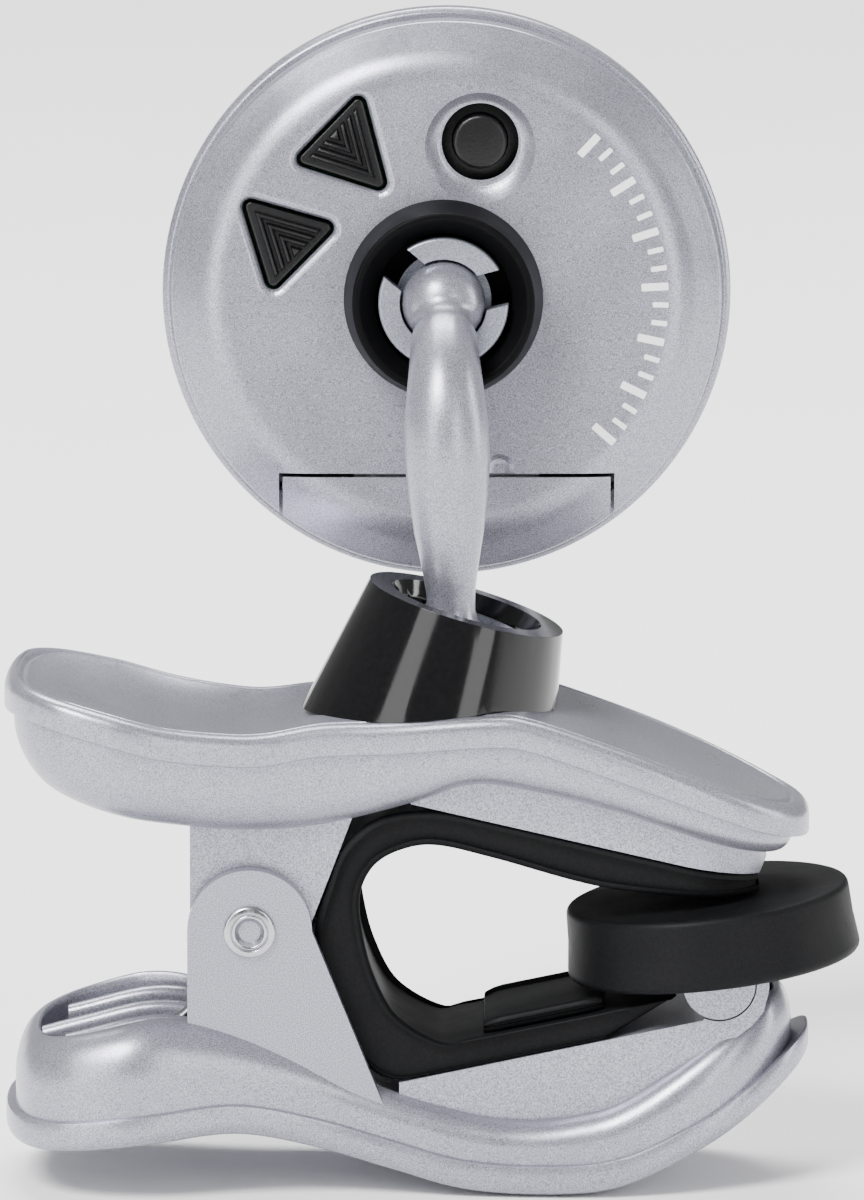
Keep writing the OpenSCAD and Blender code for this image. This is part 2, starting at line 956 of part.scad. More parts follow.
module battery_door() {
    color(SILVER)
        at_head()
            union() {
                intersection() {
                    shell_cap();
                    translate([0, 0, door_gap])
                        door_window(door_gap);
                }
                for (side = [-1, 1])
                    door_rail(side);
            }
}

module door_rail(side) {
    at_x = side > 0 ? rail_x[0] : -rail_x[1];
    width = rail_x[1] - rail_x[0];
    lower_end = door_top - 3.4;
    translate([at_x, lower_end, rail_z[1]])
        cube([width, rail_top - lower_end, rail_z[0] - rail_z[1]]);
    translate([at_x, lower_end, rail_z[1]])
        cube([width, door_top - door_gap - lower_end, -rail_z[1] - shell_wall / 2]);
}

// Raised chevrons that point at the last corner of a triangle, and the small triangle behind them
module chevrons(points) {
    corner = points[2];
    back = (points[0] + points[1]) / 2;
    way = unit(back - corner);
    for (i = [1:ridge_count])
        layer(button_top - 0.1, button_top + ridge_h)
            intersection() {
                triangle(points, -0.3);
                difference() {
                    translate(way * ridge_pitch * i)
                        polygon(points);
                    if (i < ridge_count)
                        translate(way * (ridge_pitch * i + ridge_w))
                            polygon(points);
                }
            }
}

module triangle_button(points) {
    centre = middle(points);
    layer(button_top, flange_z[0] - 0.1)
        triangle(points, 0);
    layer(flange_z[0], flange_z[1])
        triangle(points, flange_edge);
    translate([centre.x, centre.y, plunger_end])
        cylinder(r = plunger_r, h = -plunger_end - 1.5, $fn = SMALL_FN);
    chevrons(points);
}

module upper_button() {
    color(RUBBER)
        at_head()
            triangle_button(button_a);
}

module lower_button() {
    color(RUBBER)
        at_head()
            triangle_button(button_b);
}

module power_button() {
    color(RUBBER)
        at_head()
            translate([power_at.x, power_at.y, 0]) {
                translate([0, 0, flange_z[0] - 0.1])
                    cylinder(r = power_r, h = power_top - flange_z[0] + 0.1);
                translate([0, 0, flange_z[1]])
                    cylinder(r = power_flange_r, h = flange_z[0] - flange_z[1]);
                translate([0, 0, plunger_end])
                    cylinder(r = plunger_r, h = -plunger_end - 1.5, $fn = SMALL_FN);
            }
}

module tact_switches() {
    color(BLACK)
        at_head()
            for (p = [middle(button_a), middle(button_b), power_at])
                translate([p.x, p.y, board_z[1]]) {
                    translate([-switch_size / 2, -switch_size / 2, 0])
                        cube([switch_size, switch_size, switch_h]);
                    cylinder(r = switch_top_r, h = switch_h + switch_top_h, $fn = SMALL_FN);
                }
}

upper_lever_cover();
upper_lever_body();
upper_jaw_carrier();
clip_socket_collar();
clip_socket_cup();
hinge_pin();
torsion_spring();
lower_lever_cover();
lower_lever_body();
lower_jaw_carrier();
liner_upper();
liner_bend();
liner_lower();
pad_pivot_barrel();
swivel_pad();
ball_stem();
head_back_shell();
head_front_bezel();
head_socket_collar();
head_socket_cup();
display_lens();
display_panel();
circuit_board();
board_screws();
piezo_sensor();
coin_cell();
contact_positive();
contact_negative();
battery_door();
upper_button();
lower_button();
power_button();
tact_switches();
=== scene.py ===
"""Looks of a clip-on tuner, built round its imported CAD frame. Lengths are in mm until a mesh is made."""

import json
import math

import bmesh
import bpy
import numpy as np
from mathutils import Matrix, Vector


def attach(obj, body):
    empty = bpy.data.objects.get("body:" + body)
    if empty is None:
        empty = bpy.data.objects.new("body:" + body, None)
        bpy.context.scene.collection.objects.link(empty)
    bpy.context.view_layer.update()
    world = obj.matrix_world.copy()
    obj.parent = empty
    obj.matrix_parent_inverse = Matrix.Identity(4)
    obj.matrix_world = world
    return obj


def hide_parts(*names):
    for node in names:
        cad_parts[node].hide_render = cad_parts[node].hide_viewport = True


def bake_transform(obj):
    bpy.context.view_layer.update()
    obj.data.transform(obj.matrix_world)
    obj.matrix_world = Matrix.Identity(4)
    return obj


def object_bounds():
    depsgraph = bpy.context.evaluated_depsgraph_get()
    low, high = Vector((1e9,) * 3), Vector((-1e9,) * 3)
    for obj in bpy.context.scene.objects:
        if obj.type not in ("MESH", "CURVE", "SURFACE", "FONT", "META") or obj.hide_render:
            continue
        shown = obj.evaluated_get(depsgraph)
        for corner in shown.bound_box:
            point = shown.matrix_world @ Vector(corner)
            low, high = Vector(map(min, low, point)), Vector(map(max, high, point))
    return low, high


MM = 0.001

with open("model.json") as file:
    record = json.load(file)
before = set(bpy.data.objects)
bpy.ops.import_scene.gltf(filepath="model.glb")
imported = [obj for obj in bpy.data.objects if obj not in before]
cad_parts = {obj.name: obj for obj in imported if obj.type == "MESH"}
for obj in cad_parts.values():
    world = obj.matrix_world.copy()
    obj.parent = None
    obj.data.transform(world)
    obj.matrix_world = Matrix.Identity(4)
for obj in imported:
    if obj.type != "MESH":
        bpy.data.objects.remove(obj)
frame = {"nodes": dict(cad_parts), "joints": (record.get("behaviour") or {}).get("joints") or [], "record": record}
cad_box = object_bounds()
JOINTS = {joint["name"]: joint for joint in frame["joints"]}


# ---------------------------------------------------------------- materials


NOISE_ROUGHNESS = 0.55
RAMP_FROM = 0.3
RAMP_TO = 0.7
GRAIN_DEPTH = 0.03 * MM
CLOUD_SCALE = 160.0
CLOUD_TINT = (0.94, 1.0)
COAT_ROUGHNESS = 0.06
SCRATCH_SCALE = 2500.0
SCRATCH_TINT = (0.86, 1.05)
SCRATCH_GLOSS = (0.7, 1.4)
SCRATCH_BUMP = 0.12
SCRATCH_DEPTH = 0.02 * MM


def node_material(name):
    """A new material, its node tree and its main shader."""
    material = bpy.data.materials.new(name)
    material.use_nodes = True
    return material, material.node_tree, material.node_tree.nodes["Principled BSDF"]


def noise_node(tree, scale, detail=3.0):
    """Noise in object space, with scale in features per metre."""
    place = tree.nodes.new("ShaderNodeTexCoord")
    noise = tree.nodes.new("ShaderNodeTexNoise")
    noise.inputs["Scale"].default_value = scale
    noise.inputs["Detail"].default_value = detail
    noise.inputs["Roughness"].default_value = NOISE_ROUGHNESS
    tree.links.new(place.outputs["Object"], noise.inputs["Vector"])
    return noise


def ramp_node(tree, source, low, high):
    """Turns a noise value into a colour, or a grey level, between low and high."""
    ramp = tree.nodes.new("ShaderNodeValToRGB")
    for stop, position, value in zip(ramp.color_ramp.elements, (RAMP_FROM, RAMP_TO), (low, high)):
        stop.position = position
        stop.color = value if isinstance(value, tuple) else (value, value, value, 1)
    tree.links.new(source, ramp.inputs["Fac"])
    return ramp


def bump_node(tree, height, strength, distance):
    """Bump from a noise value, with its full depth in metres."""
    bump = tree.nodes.new("ShaderNodeBump")
    bump.inputs["Strength"].default_value = strength
    bump.inputs["Distance"].default_value = distance
    tree.links.new(height, bump.inputs["Height"])
    return bump


def shade(color, factor):
    """The colour made lighter or darker, with its alpha."""
    return tuple(min(1.0, c * factor) for c in color) + (1,)


def worn_plastic(
    name, color, roughness, spread, grain, bump, metallic=0.0, coat=0.0, grains=9000.0, gleam=0.5
):
    """Moulded plastic with fine grain, faint clouding and uneven gloss."""
    material, tree, shader = node_material(name)
    fine = noise_node(tree, grains, detail=1.0)
    cloud = noise_node(tree, CLOUD_SCALE, detail=4.0)
    fine_color = ramp_node(tree, fine.outputs["Fac"], shade(color, 1 - grain), shade(color, 1 + grain))
    cloud_color = ramp_node(tree, cloud.outputs["Fac"], *CLOUD_TINT)
    mix = tree.nodes.new("ShaderNodeMix")
    mix.data_type = "RGBA"
    mix.blend_type = "MULTIPLY"
    mix.inputs["Factor"].default_value = 1.0
    tree.links.new(fine_color.outputs["Color"], mix.inputs["A"])
    tree.links.new(cloud_color.outputs["Color"], mix.inputs["B"])
    tree.links.new(mix.outputs["Result"], shader.inputs["Base Color"])
    gloss = ramp_node(tree, cloud.outputs["Fac"], roughness - spread, roughness + spread)
    tree.links.new(gloss.outputs["Color"], shader.inputs["Roughness"])
    grain_bump = bump_node(tree, fine.outputs["Fac"], bump, GRAIN_DEPTH)
    tree.links.new(grain_bump.outputs["Normal"], shader.inputs["Normal"])
    shader.inputs["Metallic"].default_value = metallic
    shader.inputs["Coat Weight"].default_value = coat
    shader.inputs["Coat Roughness"].default_value = COAT_ROUGHNESS
    shader.inputs["Specular IOR Level"].default_value = gleam
    return material


def brushed_metal(name, color, roughness, stretch):
    """Steel or brass with fine scratches drawn out along one axis."""
    material, tree, shader = node_material(name)
    place = tree.nodes.new("ShaderNodeTexCoord")
    squeeze = tree.nodes.new("ShaderNodeMapping")
    squeeze.inputs["Scale"].default_value = stretch
    scratch = tree.nodes.new("ShaderNodeTexNoise")
    scratch.inputs["Scale"].default_value = SCRATCH_SCALE
    scratch.inputs["Detail"].default_value = 4.0
    tree.links.new(place.outputs["Object"], squeeze.inputs["Vector"])
    tree.links.new(squeeze.outputs["Vector"], scratch.inputs["Vector"])
    tint = ramp_node(tree, scratch.outputs["Fac"], *(shade(color, part) for part in SCRATCH_TINT))
    tree.links.new(tint.outputs["Color"], shader.inputs["Base Color"])
    gloss = ramp_node(tree, scratch.outputs["Fac"], *(roughness * part for part in SCRATCH_GLOSS))
    tree.links.new(gloss.outputs["Color"], shader.inputs["Roughness"])
    bump = bump_node(tree, scratch.outputs["Fac"], SCRATCH_BUMP, SCRATCH_DEPTH)
    tree.links.new(bump.outputs["Normal"], shader.inputs["Normal"])
    shader.inputs["Metallic"].default_value = 1.0
    return material


def make_materials():
    silver = (0.315, 0.315, 0.37)
    return {
        "silver_plastic": worn_plastic(
            "silver_flake", silver, 0.31, 0.05, 0.46, 0.35, metallic=0.6, coat=0.1, grains=11000.0
        ),
        # Socket cups: a darker, bluer copy of the silver, which is painted shade from the black collar round them
        # plus a painted bluish reflection.
        "socket_plastic": worn_plastic(
            "socket_silver_painted_shade", (0.27, 0.285, 0.33), 0.36, 0.05, 0.35, 0.4, metallic=0.5, coat=0.1
        ),
        "black_gloss_plastic": worn_plastic(
            "black_gloss", (0.003, 0.003, 0.0035), 0.11, 0.03, 0.3, 0.03, grains=2500.0, gleam=0.42
        ),
        "black_rubber": worn_plastic(
            "black_rubber", (0.0032, 0.0034, 0.004), 0.56, 0.08, 0.35, 0.4, grains=5200.0, gleam=0.13
        ),
        "button_rubber": worn_plastic(
            "button_rubber", (0.003, 0.003, 0.0036), 0.34, 0.06, 0.3, 0.6, grains=6000.0, gleam=0.34
        ),
        "steel": brushed_metal("bright_steel", (0.5, 0.5, 0.53), 0.2, (1.0, 0.15, 1.0)),
        "clear_lens": worn_plastic(
            "dark_lens", (0.008, 0.01, 0.012), 0.09, 0.02, 0.1, 0.01, coat=0.05, grains=1500.0, gleam=0.2
        ),
        "display_grey": worn_plastic("display_grey", (0.2, 0.23, 0.22), 0.4, 0.05, 0.08, 0.05),
        "board_green": worn_plastic("board_green", (0.03, 0.17, 0.08), 0.4, 0.08, 0.2, 0.2),
        "brass": brushed_metal("brass", (0.72, 0.55, 0.24), 0.28, (1.0, 1.0, 0.2)),
        "switch_black": worn_plastic("switch_black", (0.03, 0.03, 0.03), 0.5, 0.05, 0.2, 0.1),
    }


MATERIALS = make_materials()
BLACK_SATIN = worn_plastic(
    "black_satin", (0.0025, 0.0025, 0.003), 0.5, 0.05, 0.3, 0.1, grains=5000.0, gleam=0.06
)
PRINT_WHITE = worn_plastic("white_print", (0.9, 0.9, 0.9), 0.5, 0.05, 0.05, 0.1)
SLOTS = {part["node"]: part["material_slot"] for part in frame["record"]["subparts"]}


# ---------------------------------------------------------------- mesh helpers


WELD = 0.002 * MM
FLAT_ANGLE = math.radians(0.7)
CORNER_ANGLE = math.radians(33)
SLIVER_AREA = 1e-14


def finish_mesh(bm, name):
    """Makes a mesh with its faces turned outwards, and lets the bmesh go."""
    mesh = bpy.data.meshes.new(name)
    bmesh.ops.recalc_face_normals(bm, faces=bm.faces)
    bm.to_mesh(mesh)
    bm.free()
    return mesh


def piece(name, mesh, nodes, body=None, sharp=38.0, slot=None):
    """Makes an object that stands for these CAD nodes, with their material slot's finish."""
    slot = slot or SLOTS[nodes[0]]
    obj = bpy.data.objects.new(name, mesh)
    bpy.context.scene.collection.objects.link(obj)
    mesh.materials.clear()
    mesh.materials.append(MATERIALS[slot])
    mesh.polygons.foreach_set("use_smooth", [True] * len(mesh.polygons))
    mesh.set_sharp_from_angle(angle=math.radians(sharp))
    weigh = obj.modifiers.new("even_normals", "WEIGHTED_NORMAL")
    weigh.keep_sharp = True
    if body:
        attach(obj, body)
    if nodes:
        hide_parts(*nodes)
    return obj


def node_body(node):
    """The body that a CAD node rides on."""
    bodies = frame["record"]["behaviour"]["bodies"]
    return next(body for body, nodes in bodies.items() if node in nodes)


def joint_place(name):
    """A joint's centre in mm."""
    return Vector(JOINTS[name]["pos_m"]) / MM


def refined(node, width, segments=3):
    """A CAD node's own shape with its edges rounded to this width, as a new piece in its place."""
    bm = bmesh.new()
    bm.from_mesh(frame["nodes"][node].data)
    bmesh.ops.remove_doubles(bm, verts=bm.verts, dist=WELD)
    bmesh.ops.dissolve_limit(bm, angle_limit=FLAT_ANGLE, verts=bm.verts, edges=bm.edges)
    edges = [e for e in bm.edges if len(e.link_faces) == 2 and e.calc_face_angle(0) > CORNER_ANGLE]
    bmesh.ops.bevel(
        bm,
        geom=edges,
        offset=width * MM,
        offset_type="OFFSET",
        segments=segments,
        profile=0.6,
        affect="EDGES",
        clamp_overlap=True,
    )
    return piece(node + "_look", finish_mesh(bm, node), [node], node_body(node))


def add_part(bm, part):
    """Moves a part's mesh into a larger one, and lets the part go."""
    scratch = bpy.data.meshes.new("scratch")
    part.to_mesh(scratch)
    part.free()
    bm.from_mesh(scratch)
    bpy.data.meshes.remove(scratch)


def add_walls(bm, rings):
    """Joins equal closed rings of points, in mm, into a skin with open ends, and gives its rows back."""
    rows = [[bm.verts.new(Vector(p) * MM) for p in ring] for ring in rings]
    count = len(rows[0])
    for low, high in zip(rows, rows[1:]):
        for i in range(count):
            j = (i + 1) % count
            bm.faces.new((low[i], low[j], high[j], high[i]))
    return rows


def add_rings(bm, rings):
    """Joins equal closed rings of points, in mm, into a skin with closed ends."""
    rows = add_walls(bm, rings)
    bm.faces.new(rows[0][::-1])
    bm.faces.new(rows[-1])


def spline(points, steps):
    """Catmull-Rom curve through points of any size, with steps to a stretch."""
    pts = np.array(points, float)
    out = []
    for i in range(len(pts) - 1):
        a, b, c, d = pts[max(i - 1, 0)], pts[i], pts[i + 1], pts[min(i + 2, len(pts) - 1)]
        for s in range(steps):
            t = s / steps
            out.append(
                0.5 * (2 * b + (c - a) * t + (2 * a - 5 * b + 4 * c - d) * t**2
                       + (3 * b - a - 3 * c + d) * t**3)
            )
    out.append(pts[-1])
    return np.array(out)


def filleted(corners, steps=5):
    """A closed outline from (x, y, radius) corners, each rounded to its radius."""
    out = []
    for i, (x, y, radius) in enumerate(corners):
        if radius <= 0:
            out.append((x, y))
            continue
        here = Vector((x, y))
        back = Vector(corners[i - 1][:2]) - here
        ahead = Vector(corners[(i + 1) % len(corners)][:2]) - here
        half = back.angle(ahead) / 2
        reach = min(radius / math.tan(half), 0.48 * back.length, 0.48 * ahead.length)
        start = here + back.normalized() * reach
        end = here + ahead.normalized() * reach
        for s in range(steps + 1):
            t = s / steps
            p = start * (1 - t) ** 2 + here * 2 * t * (1 - t) + end * t**2
            out.append((p.x, p.y))
    return out


def turned(profile, place, turns=144):
    """Turns a closed (radius, height) outline about the local Z axis of a 4x4 placement in mm."""
    bm = bmesh.new()
    rows = []
    for k in range(turns):
        angle = 2 * math.pi * k / turns
        points = [Vector((r * math.cos(angle), r * math.sin(angle), z)) for r, z in profile]
        rows.append([bm.verts.new((place @ p) * MM) for p in points])
    count = len(profile)
    for k in range(turns):
        here, there = rows[k], rows[(k + 1) % turns]
        for i in range(count):
            j = (i + 1) % count
            bm.faces.new((here[i], there[i], there[j], here[j]))
    bmesh.ops.remove_doubles(bm, verts=bm.verts, dist=WELD / 2)
    slivers = [f for f in bm.faces if f.calc_area() < SLIVER_AREA]
    bmesh.ops.delete(bm, geom=slivers, context="FACES")
    return bm


def cut(obj, cutter):
    """Takes the cutter's shape out of the object's mesh, then throws the cutter away."""
    tool = obj.modifiers.new("cut", "BOOLEAN")
    tool.operation = "DIFFERENCE"
    tool.solver = "EXACT"
    tool.object = cutter
    with bpy.context.temp_override(object=obj):
        bpy.ops.object.modifier_apply(modifier=tool.name)
    bpy.data.objects.remove(cutter)


def cutter_object(bm):
    """A bare object for cut() to take away."""
    obj = bpy.data.objects.new("cutter", finish_mesh(bm, "cutter"))
    bpy.context.scene.collection.objects.link(obj)
    return obj


# ---------------------------------------------------------------- levers


LEVER_PLAN = [
    (-54, 0), (-53.85, 3.4), (-53.3, 6.6), (-52.1, 9.3), (-49.8, 11.4), (-46.3, 12.6),
    (-43, 12.75), (-38, 11.6),
    (-30, 10.05), (-24, 9.8), (-15, 10.2), (-7, 10.4), (-1.5, 10.0), (2.9, 8.6), (5.7, 6.6),
    (7.4, 4.3), (8.1, 2.1), (8.2, 0),
]
UPPER_TOP = [
    (-54, 17.3), (-53, 17.7), (-51.5, 17.6), (-45.8, 16.2), (-41.5, 15.05), (-37, 14.4), (-33.8, 14.3),
    (-29.5, 14.9), (-24, 15.05), (-16.6, 15.6), (-13.2, 15.25), (-6.3, 12.9), (-0.5, 10.6),
    (5, 8.3), (8.2, 7.3),
]
UPPER_RIM = [
    (-54, 10.3), (-50.1, 9.3), (-45.8, 8.05), (-41.5, 7.2), (-37.1, 6.6), (-32.7, 6.5),
    (-28.4, 7), (-21.9, 8.7), (-18.9, 9.8), (-15.5, 9.9), (-7.4, 8.1), (0.6, 5.3), (5.7, 3.9),
    (8, 4.4),
]
LOWER_BOTTOM = [
    (-54, -18.4), (-50.1, -18.25), (-41.5, -17.3), (-36, -16.9), (-30.6, -18), (-24, -20),
    (-18.5, -21.5), (-12, -21.9), (-6.5, -21.3), (-1.1, -18.9), (3.2, -16.3), (8.2, -12.4),
]
LOWER_RIM = [
    (-54, -11.1), (-51.7, -10.4), (-48, -9.4), (-42.7, -8.2), (-38.2, -8.7), (-31.7, -10.8),
    (-25.1, -13.8), (-18.5, -15.8), (-14.2, -16.4), (-9.8, -16), (-5.5, -14.5), (3.2, -8.7),
    (5.5, -7.2), (8, -8.6),
]
BAND = 2.4
SPINE_X = (-42.0, 0.5)
BODY_INSET = 0.46
EDGE_ROUND = 0.95
SEAM_ROUND = 0.3
SEAM_FLAT = 0.9
SEAM_SHARE = 0.02
UNDER_COVER = 1.5
FACE_FROM = 3.0
LIP_AT = 1.45
LIP_WIDE = 0.18
LIP_DEEP = 0.2
LIP_END = 2.1
DISH_DEEP = 1.35
DISH_REACH = (-53.2, -29.5)
DISH_EDGE = 1.7
SHOULDER_HEEL = 3.2
SHOULDER_JAW = 2.0
SHOULDER_END = {1: 3.6, -1: 1.5}
SHOULDER_TIP = 1.0
SHOULDER_CHANGE = (-40.0, -26.0)
WALL_SHARE = {1: 0.2, -1: 0.4}
HEEL_OVERHANG = 0.75
TIP_OVERHANG = 1.4
RIM_FLAT = 0.45
POCKET_LIFT = 1.2
POCKET_DRAFT = 0.1
BLOCK_X = (-27.0, -20.2)
BLOCK_DROP = 0.3
RIB_Y = (-5.5, 0.0, 5.5)
RIB_W = 1.5
RIB_X = (-51.2, -27.0)
RIB_DROP = 0.35
RIB_SETBACK = 2.5 / 9
PIN = (-35.0, -1.3)
PLATE_EDGE = 0.22
PLATE_CORNER = math.radians(50)
PLAN_COUNT = 170
# name, side, outer line, rim line, ear's radius, ear's inner and outer y, ear's foot on the rim
LEVERS = (
    ("upper", 1, UPPER_TOP, UPPER_RIM, 4.6, (6.0, 7.4), [(-39.6, 10.5), (-25.9, 10.5)]),
    ("lower", -1, LOWER_BOTTOM, LOWER_RIM, 4.8, (7.6, 9.0), [(-39.8, -13.5), (-23.8, -17.2)]),
)


def curve_at(points, x):
    """Heights of a smooth side line at the x values."""
    line = spline(points, 12)
    return np.interp(x, line[:, 0], line[:, 1])


def plan_loop():
    """Evenly spaced points all round a lever, seen from above, the way in from each and how far it goes."""
    half = spline(LEVER_PLAN, 16)
    lengths = np.concatenate([[0], np.cumsum(np.linalg.norm(np.diff(half, axis=0), axis=1))])
    at = np.linspace(0, lengths[-1], PLAN_COUNT)
    x = np.interp(at, lengths, half[:, 0])
    y = np.interp(at, lengths, half[:, 1])
    loop = np.concatenate([np.stack([x, -y], 1), np.stack([x, y], 1)[-2:0:-1]])
    spine = np.stack([np.clip(loop[:, 0], *SPINE_X), np.zeros(len(loop))], 1)
    reach = np.linalg.norm(spine - loop, axis=1)
    return loop, (spine - loop) / reach[:, None], reach


LOOP, INWARD, REACH = plan_loop()


def loop_at(inset):
    """The loop moved in towards the spine by one inset, or by one for each point."""
    return LOOP + INWARD * np.minimum(inset, REACH)[:, None]


def skin(bm, loops):
    """Joins equal closed loops of points; the first and last lie along the spine and are welded there."""
    add_walls(bm, loops)
    bmesh.ops.remove_doubles(bm, verts=bm.verts, dist=WELD)


def thumb_dish(x, y, half):
    """How deep the hollow for the thumb is at these places in a cover's outer face."""
    middle = sum(DISH_REACH) / 2
    along = np.clip(1 - ((x - middle) / (DISH_REACH[1] - middle)) ** 2, 0, 1)
    across = np.clip(1 - (y / np.maximum(half - DISH_EDGE, 0.1)) ** 2, 0, 1)
    return DISH_DEEP * np.sqrt(along) * (1 - (1 - across) ** 1.5) * np.clip(along * 4, 0, 1) ** 0.5


def half_width_at(x):
    """Half the width of a lever's plan at the x values."""
    plan = spline(LEVER_PLAN, 16)
    return np.interp(x, plan[:, 0], plan[:, 1])


def cover_loops(line, side):
    """Loops of a cover: under its seam, up its band, over the rounded edge and in to its spine."""
    loops = []

    def on_band(inset, rise):
        p = loop_at(inset)
        loops.append(np.column_stack([p, curve_at(line, p[:, 0]) - side * (BAND - rise)]))

    def on_face(inset, drop=0.0):
        p = loop_at(inset)
        dish = thumb_dish(p[:, 0], p[:, 1], half_width_at(p[:, 0]))
        loops.append(np.column_stack([p, curve_at(line, p[:, 0]) - side * (drop + dish)]))

    for t in (0.0, 0.35, 0.7, 1.0):
        on_band(REACH * (1 - t) + (SEAM_ROUND + SEAM_FLAT) * t, 0.0)
    on_band(SEAM_ROUND, 0.0)
    on_band(SEAM_ROUND * 0.3, SEAM_ROUND * 0.3)
    on_band(0.0, SEAM_ROUND)
    on_band(0.0, BAND * 0.45)
    for angle in np.linspace(0, math.pi / 2, 8):
        on_band(EDGE_ROUND * (1 - math.cos(angle)), BAND - EDGE_ROUND * (1 - math.sin(angle)))
    for inset in np.concatenate([np.linspace(EDGE_ROUND, LIP_END, 14), [2.5, FACE_FROM]]):
        on_face(inset, LIP_DEEP * math.exp(-(((inset - LIP_AT) / LIP_WIDE) ** 2)))
    for t in np.linspace(0, 1, 13)[1:]:
        on_face(FACE_FROM + (REACH - FACE_FROM) * t)
    return loops


def shoulder_at(side):
    """How far the shoulder rolls in at each point of the loop, with its own value at the heel and tip."""
    roll = np.interp(LOOP[:, 0], SHOULDER_CHANGE, (SHOULDER_HEEL, SHOULDER_JAW))
    heel = np.clip(INWARD[:, 0], 0, 1) ** 1.5
    tip = np.clip(-INWARD[:, 0], 0, 1) ** 1.5
    return roll * (1 - heel - tip) + SHOULDER_END[side] * heel + SHOULDER_TIP * tip


def body_loops(line, rim, side):
    """Loops of a lever body: a tray with rolled shoulders, open on the side of the other lever."""
    loops = []

    def at(inset, share, lift=0.0):
        """Adds a loop between the seam, at share 0, and the rim, at share 1."""
        p = loop_at(inset)
        seam = curve_at(line, p[:, 0]) - side * (BAND + lift)
        edge = curve_at(rim, p[:, 0])
        loops.append(np.column_stack([p, seam + (edge - seam) * share]))

    roll = shoulder_at(side)
    wall = WALL_SHARE[side]
    heel = np.clip(INWARD[:, 0], 0, 1) ** 2
    tip = np.clip(-INWARD[:, 0], 0, 1) ** 2
    margin = BODY_INSET + (HEEL_OVERHANG - BODY_INSET) * heel + (TIP_OVERHANG - BODY_INSET) * tip
    for t in (0.0, 0.5, 1.0):
        at(REACH * (1 - t) + UNDER_COVER * t, SEAM_SHARE)
    at(margin, 0.0)
    at(margin, wall * 0.5)
    for angle in np.linspace(0, math.pi / 2, 13):
        at(margin + roll * (1 - math.cos(angle)), wall + (1 - wall) * math.sin(angle))
    crest = margin + roll
    for part, share in ((0.6, 1.0), (0.9, 0.97), (1.0, 0.9)):
        at(crest + RIM_FLAT * part, share)
    pocket = crest + RIM_FLAT + POCKET_DRAFT
    for t in (0.0, 0.3, 0.65, 1.0):
        at(pocket * (1 - t) + REACH * t, 0.0, POCKET_LIFT)
    return loops


def add_prism(bm, outline, y0, y1):
    """A plate across the part between y0 and y1, its rim edges rounded."""
    part = bmesh.new()
    add_rings(part, [[(x, y, z) for x, z in outline] for y in (y0, y1)])
    rims = [e for e in part.edges if e.calc_face_angle(0) > PLATE_CORNER]
    bmesh.ops.bevel(part, geom=rims, offset=PLATE_EDGE * MM, segments=3, profile=0.6, affect="EDGES")
    add_part(bm, part)


def ear_outline(radius, foot):
    """A round-headed ear about the pin that runs down, or up, to its two foot points."""
    (x0, z0), (x1, z1) = foot
    way = 1 if z0 > PIN[1] else -1
    angles = np.linspace(0, math.pi, 37)
    arc = [(PIN[0] + radius * math.cos(a), PIN[1] - way * radius * math.sin(a)) for a in angles]
    return arc + [(x0, z0), (x1, z1)]


def add_ribs(bm, line, rim, side):
    """Three rounded ribs along the heel's pocket."""
    xs = np.linspace(RIB_X[0], RIB_X[1], 26)
    foot = curve_at(line, xs) - side * (BAND + POCKET_LIFT * 0.5)
    top = curve_at(rim, xs) + side * RIB_DROP
    round_r = RIB_W / 2
    for y in RIB_Y:
        start = RIB_X[0] + RIB_SETBACK * abs(y)
        rings = []
        for x, low, high in zip(xs, foot, top):
            if x < start:
                continue
            arc = [
                (x, y + round_r * math.cos(a), high + side * round_r * (1 - math.sin(a)))
                for a in np.linspace(0, math.pi, 9)
            ]
            rings.append([(x, y + round_r, low)] + arc + [(x, y - round_r, low)])
        add_rings(bm, rings)


def add_block(bm, line, rim, side):
    """The solid bridge between the heel pocket and the jaw pocket."""
    xs = np.linspace(BLOCK_X[0], BLOCK_X[1], 9)
    half = half_width_at(xs) - BODY_INSET - SHOULDER_JAW
    foot = curve_at(line, xs) - side * (BAND + POCKET_LIFT * 0.5)
    top = curve_at(rim, xs) + side * BLOCK_DROP
    rings = [
        [(x, -w, low), (x, w, low), (x, w, high), (x, -w, high)]
        for x, w, low, high in zip(xs, half, foot, top)
    ]
    add_rings(bm, rings)


def build_levers():
    """Both levers, their jaws' silver carriers and the rivet that joins them."""
    for name, side, line, rim, ear_r, (near_y, far_y), ear_foot in LEVERS:
        lever = name + "_lever"
        bm = bmesh.new()
        skin(bm, cover_loops(line, side))
        piece(name + "_cover_skin", finish_mesh(bm, name), [lever + "_cover"], lever)
        bm = bmesh.new()
        skin(bm, body_loops(line, rim, side))
        add_ribs(bm, line, rim, side)
        add_block(bm, line, rim, side)
        for y0, y1 in ((near_y, far_y), (-far_y, -near_y)):
            add_prism(bm, ear_outline(ear_r, ear_foot), y0, y1)
        piece(name + "_tray", finish_mesh(bm, name + "_tray"), [lever + "_body"], lever)
    refined("upper_jaw_carrier", 0.3)
    build_lower_carrier()
    build_pin()


BARREL_GAP = 0.06
BARREL_R = 2.85
SADDLE_R = 3.85
SADDLE_ARC = (-112, 28)
SADDLE_FOOT = -7.2
CARRIER_HALF_W = 7.5
CARRIER_TOP = [(-23.5, -13.5), (-0.1, -8.6)]
CARRIER_UNDER = [
    (4.6, -7.9), (3.7, -9.0), (2.0, -10.3), (0.2, -12.2), (-1.5, -14.6), (-6, -17), (-14, -18), (-20, -17),
    (-23.5, -15),
]


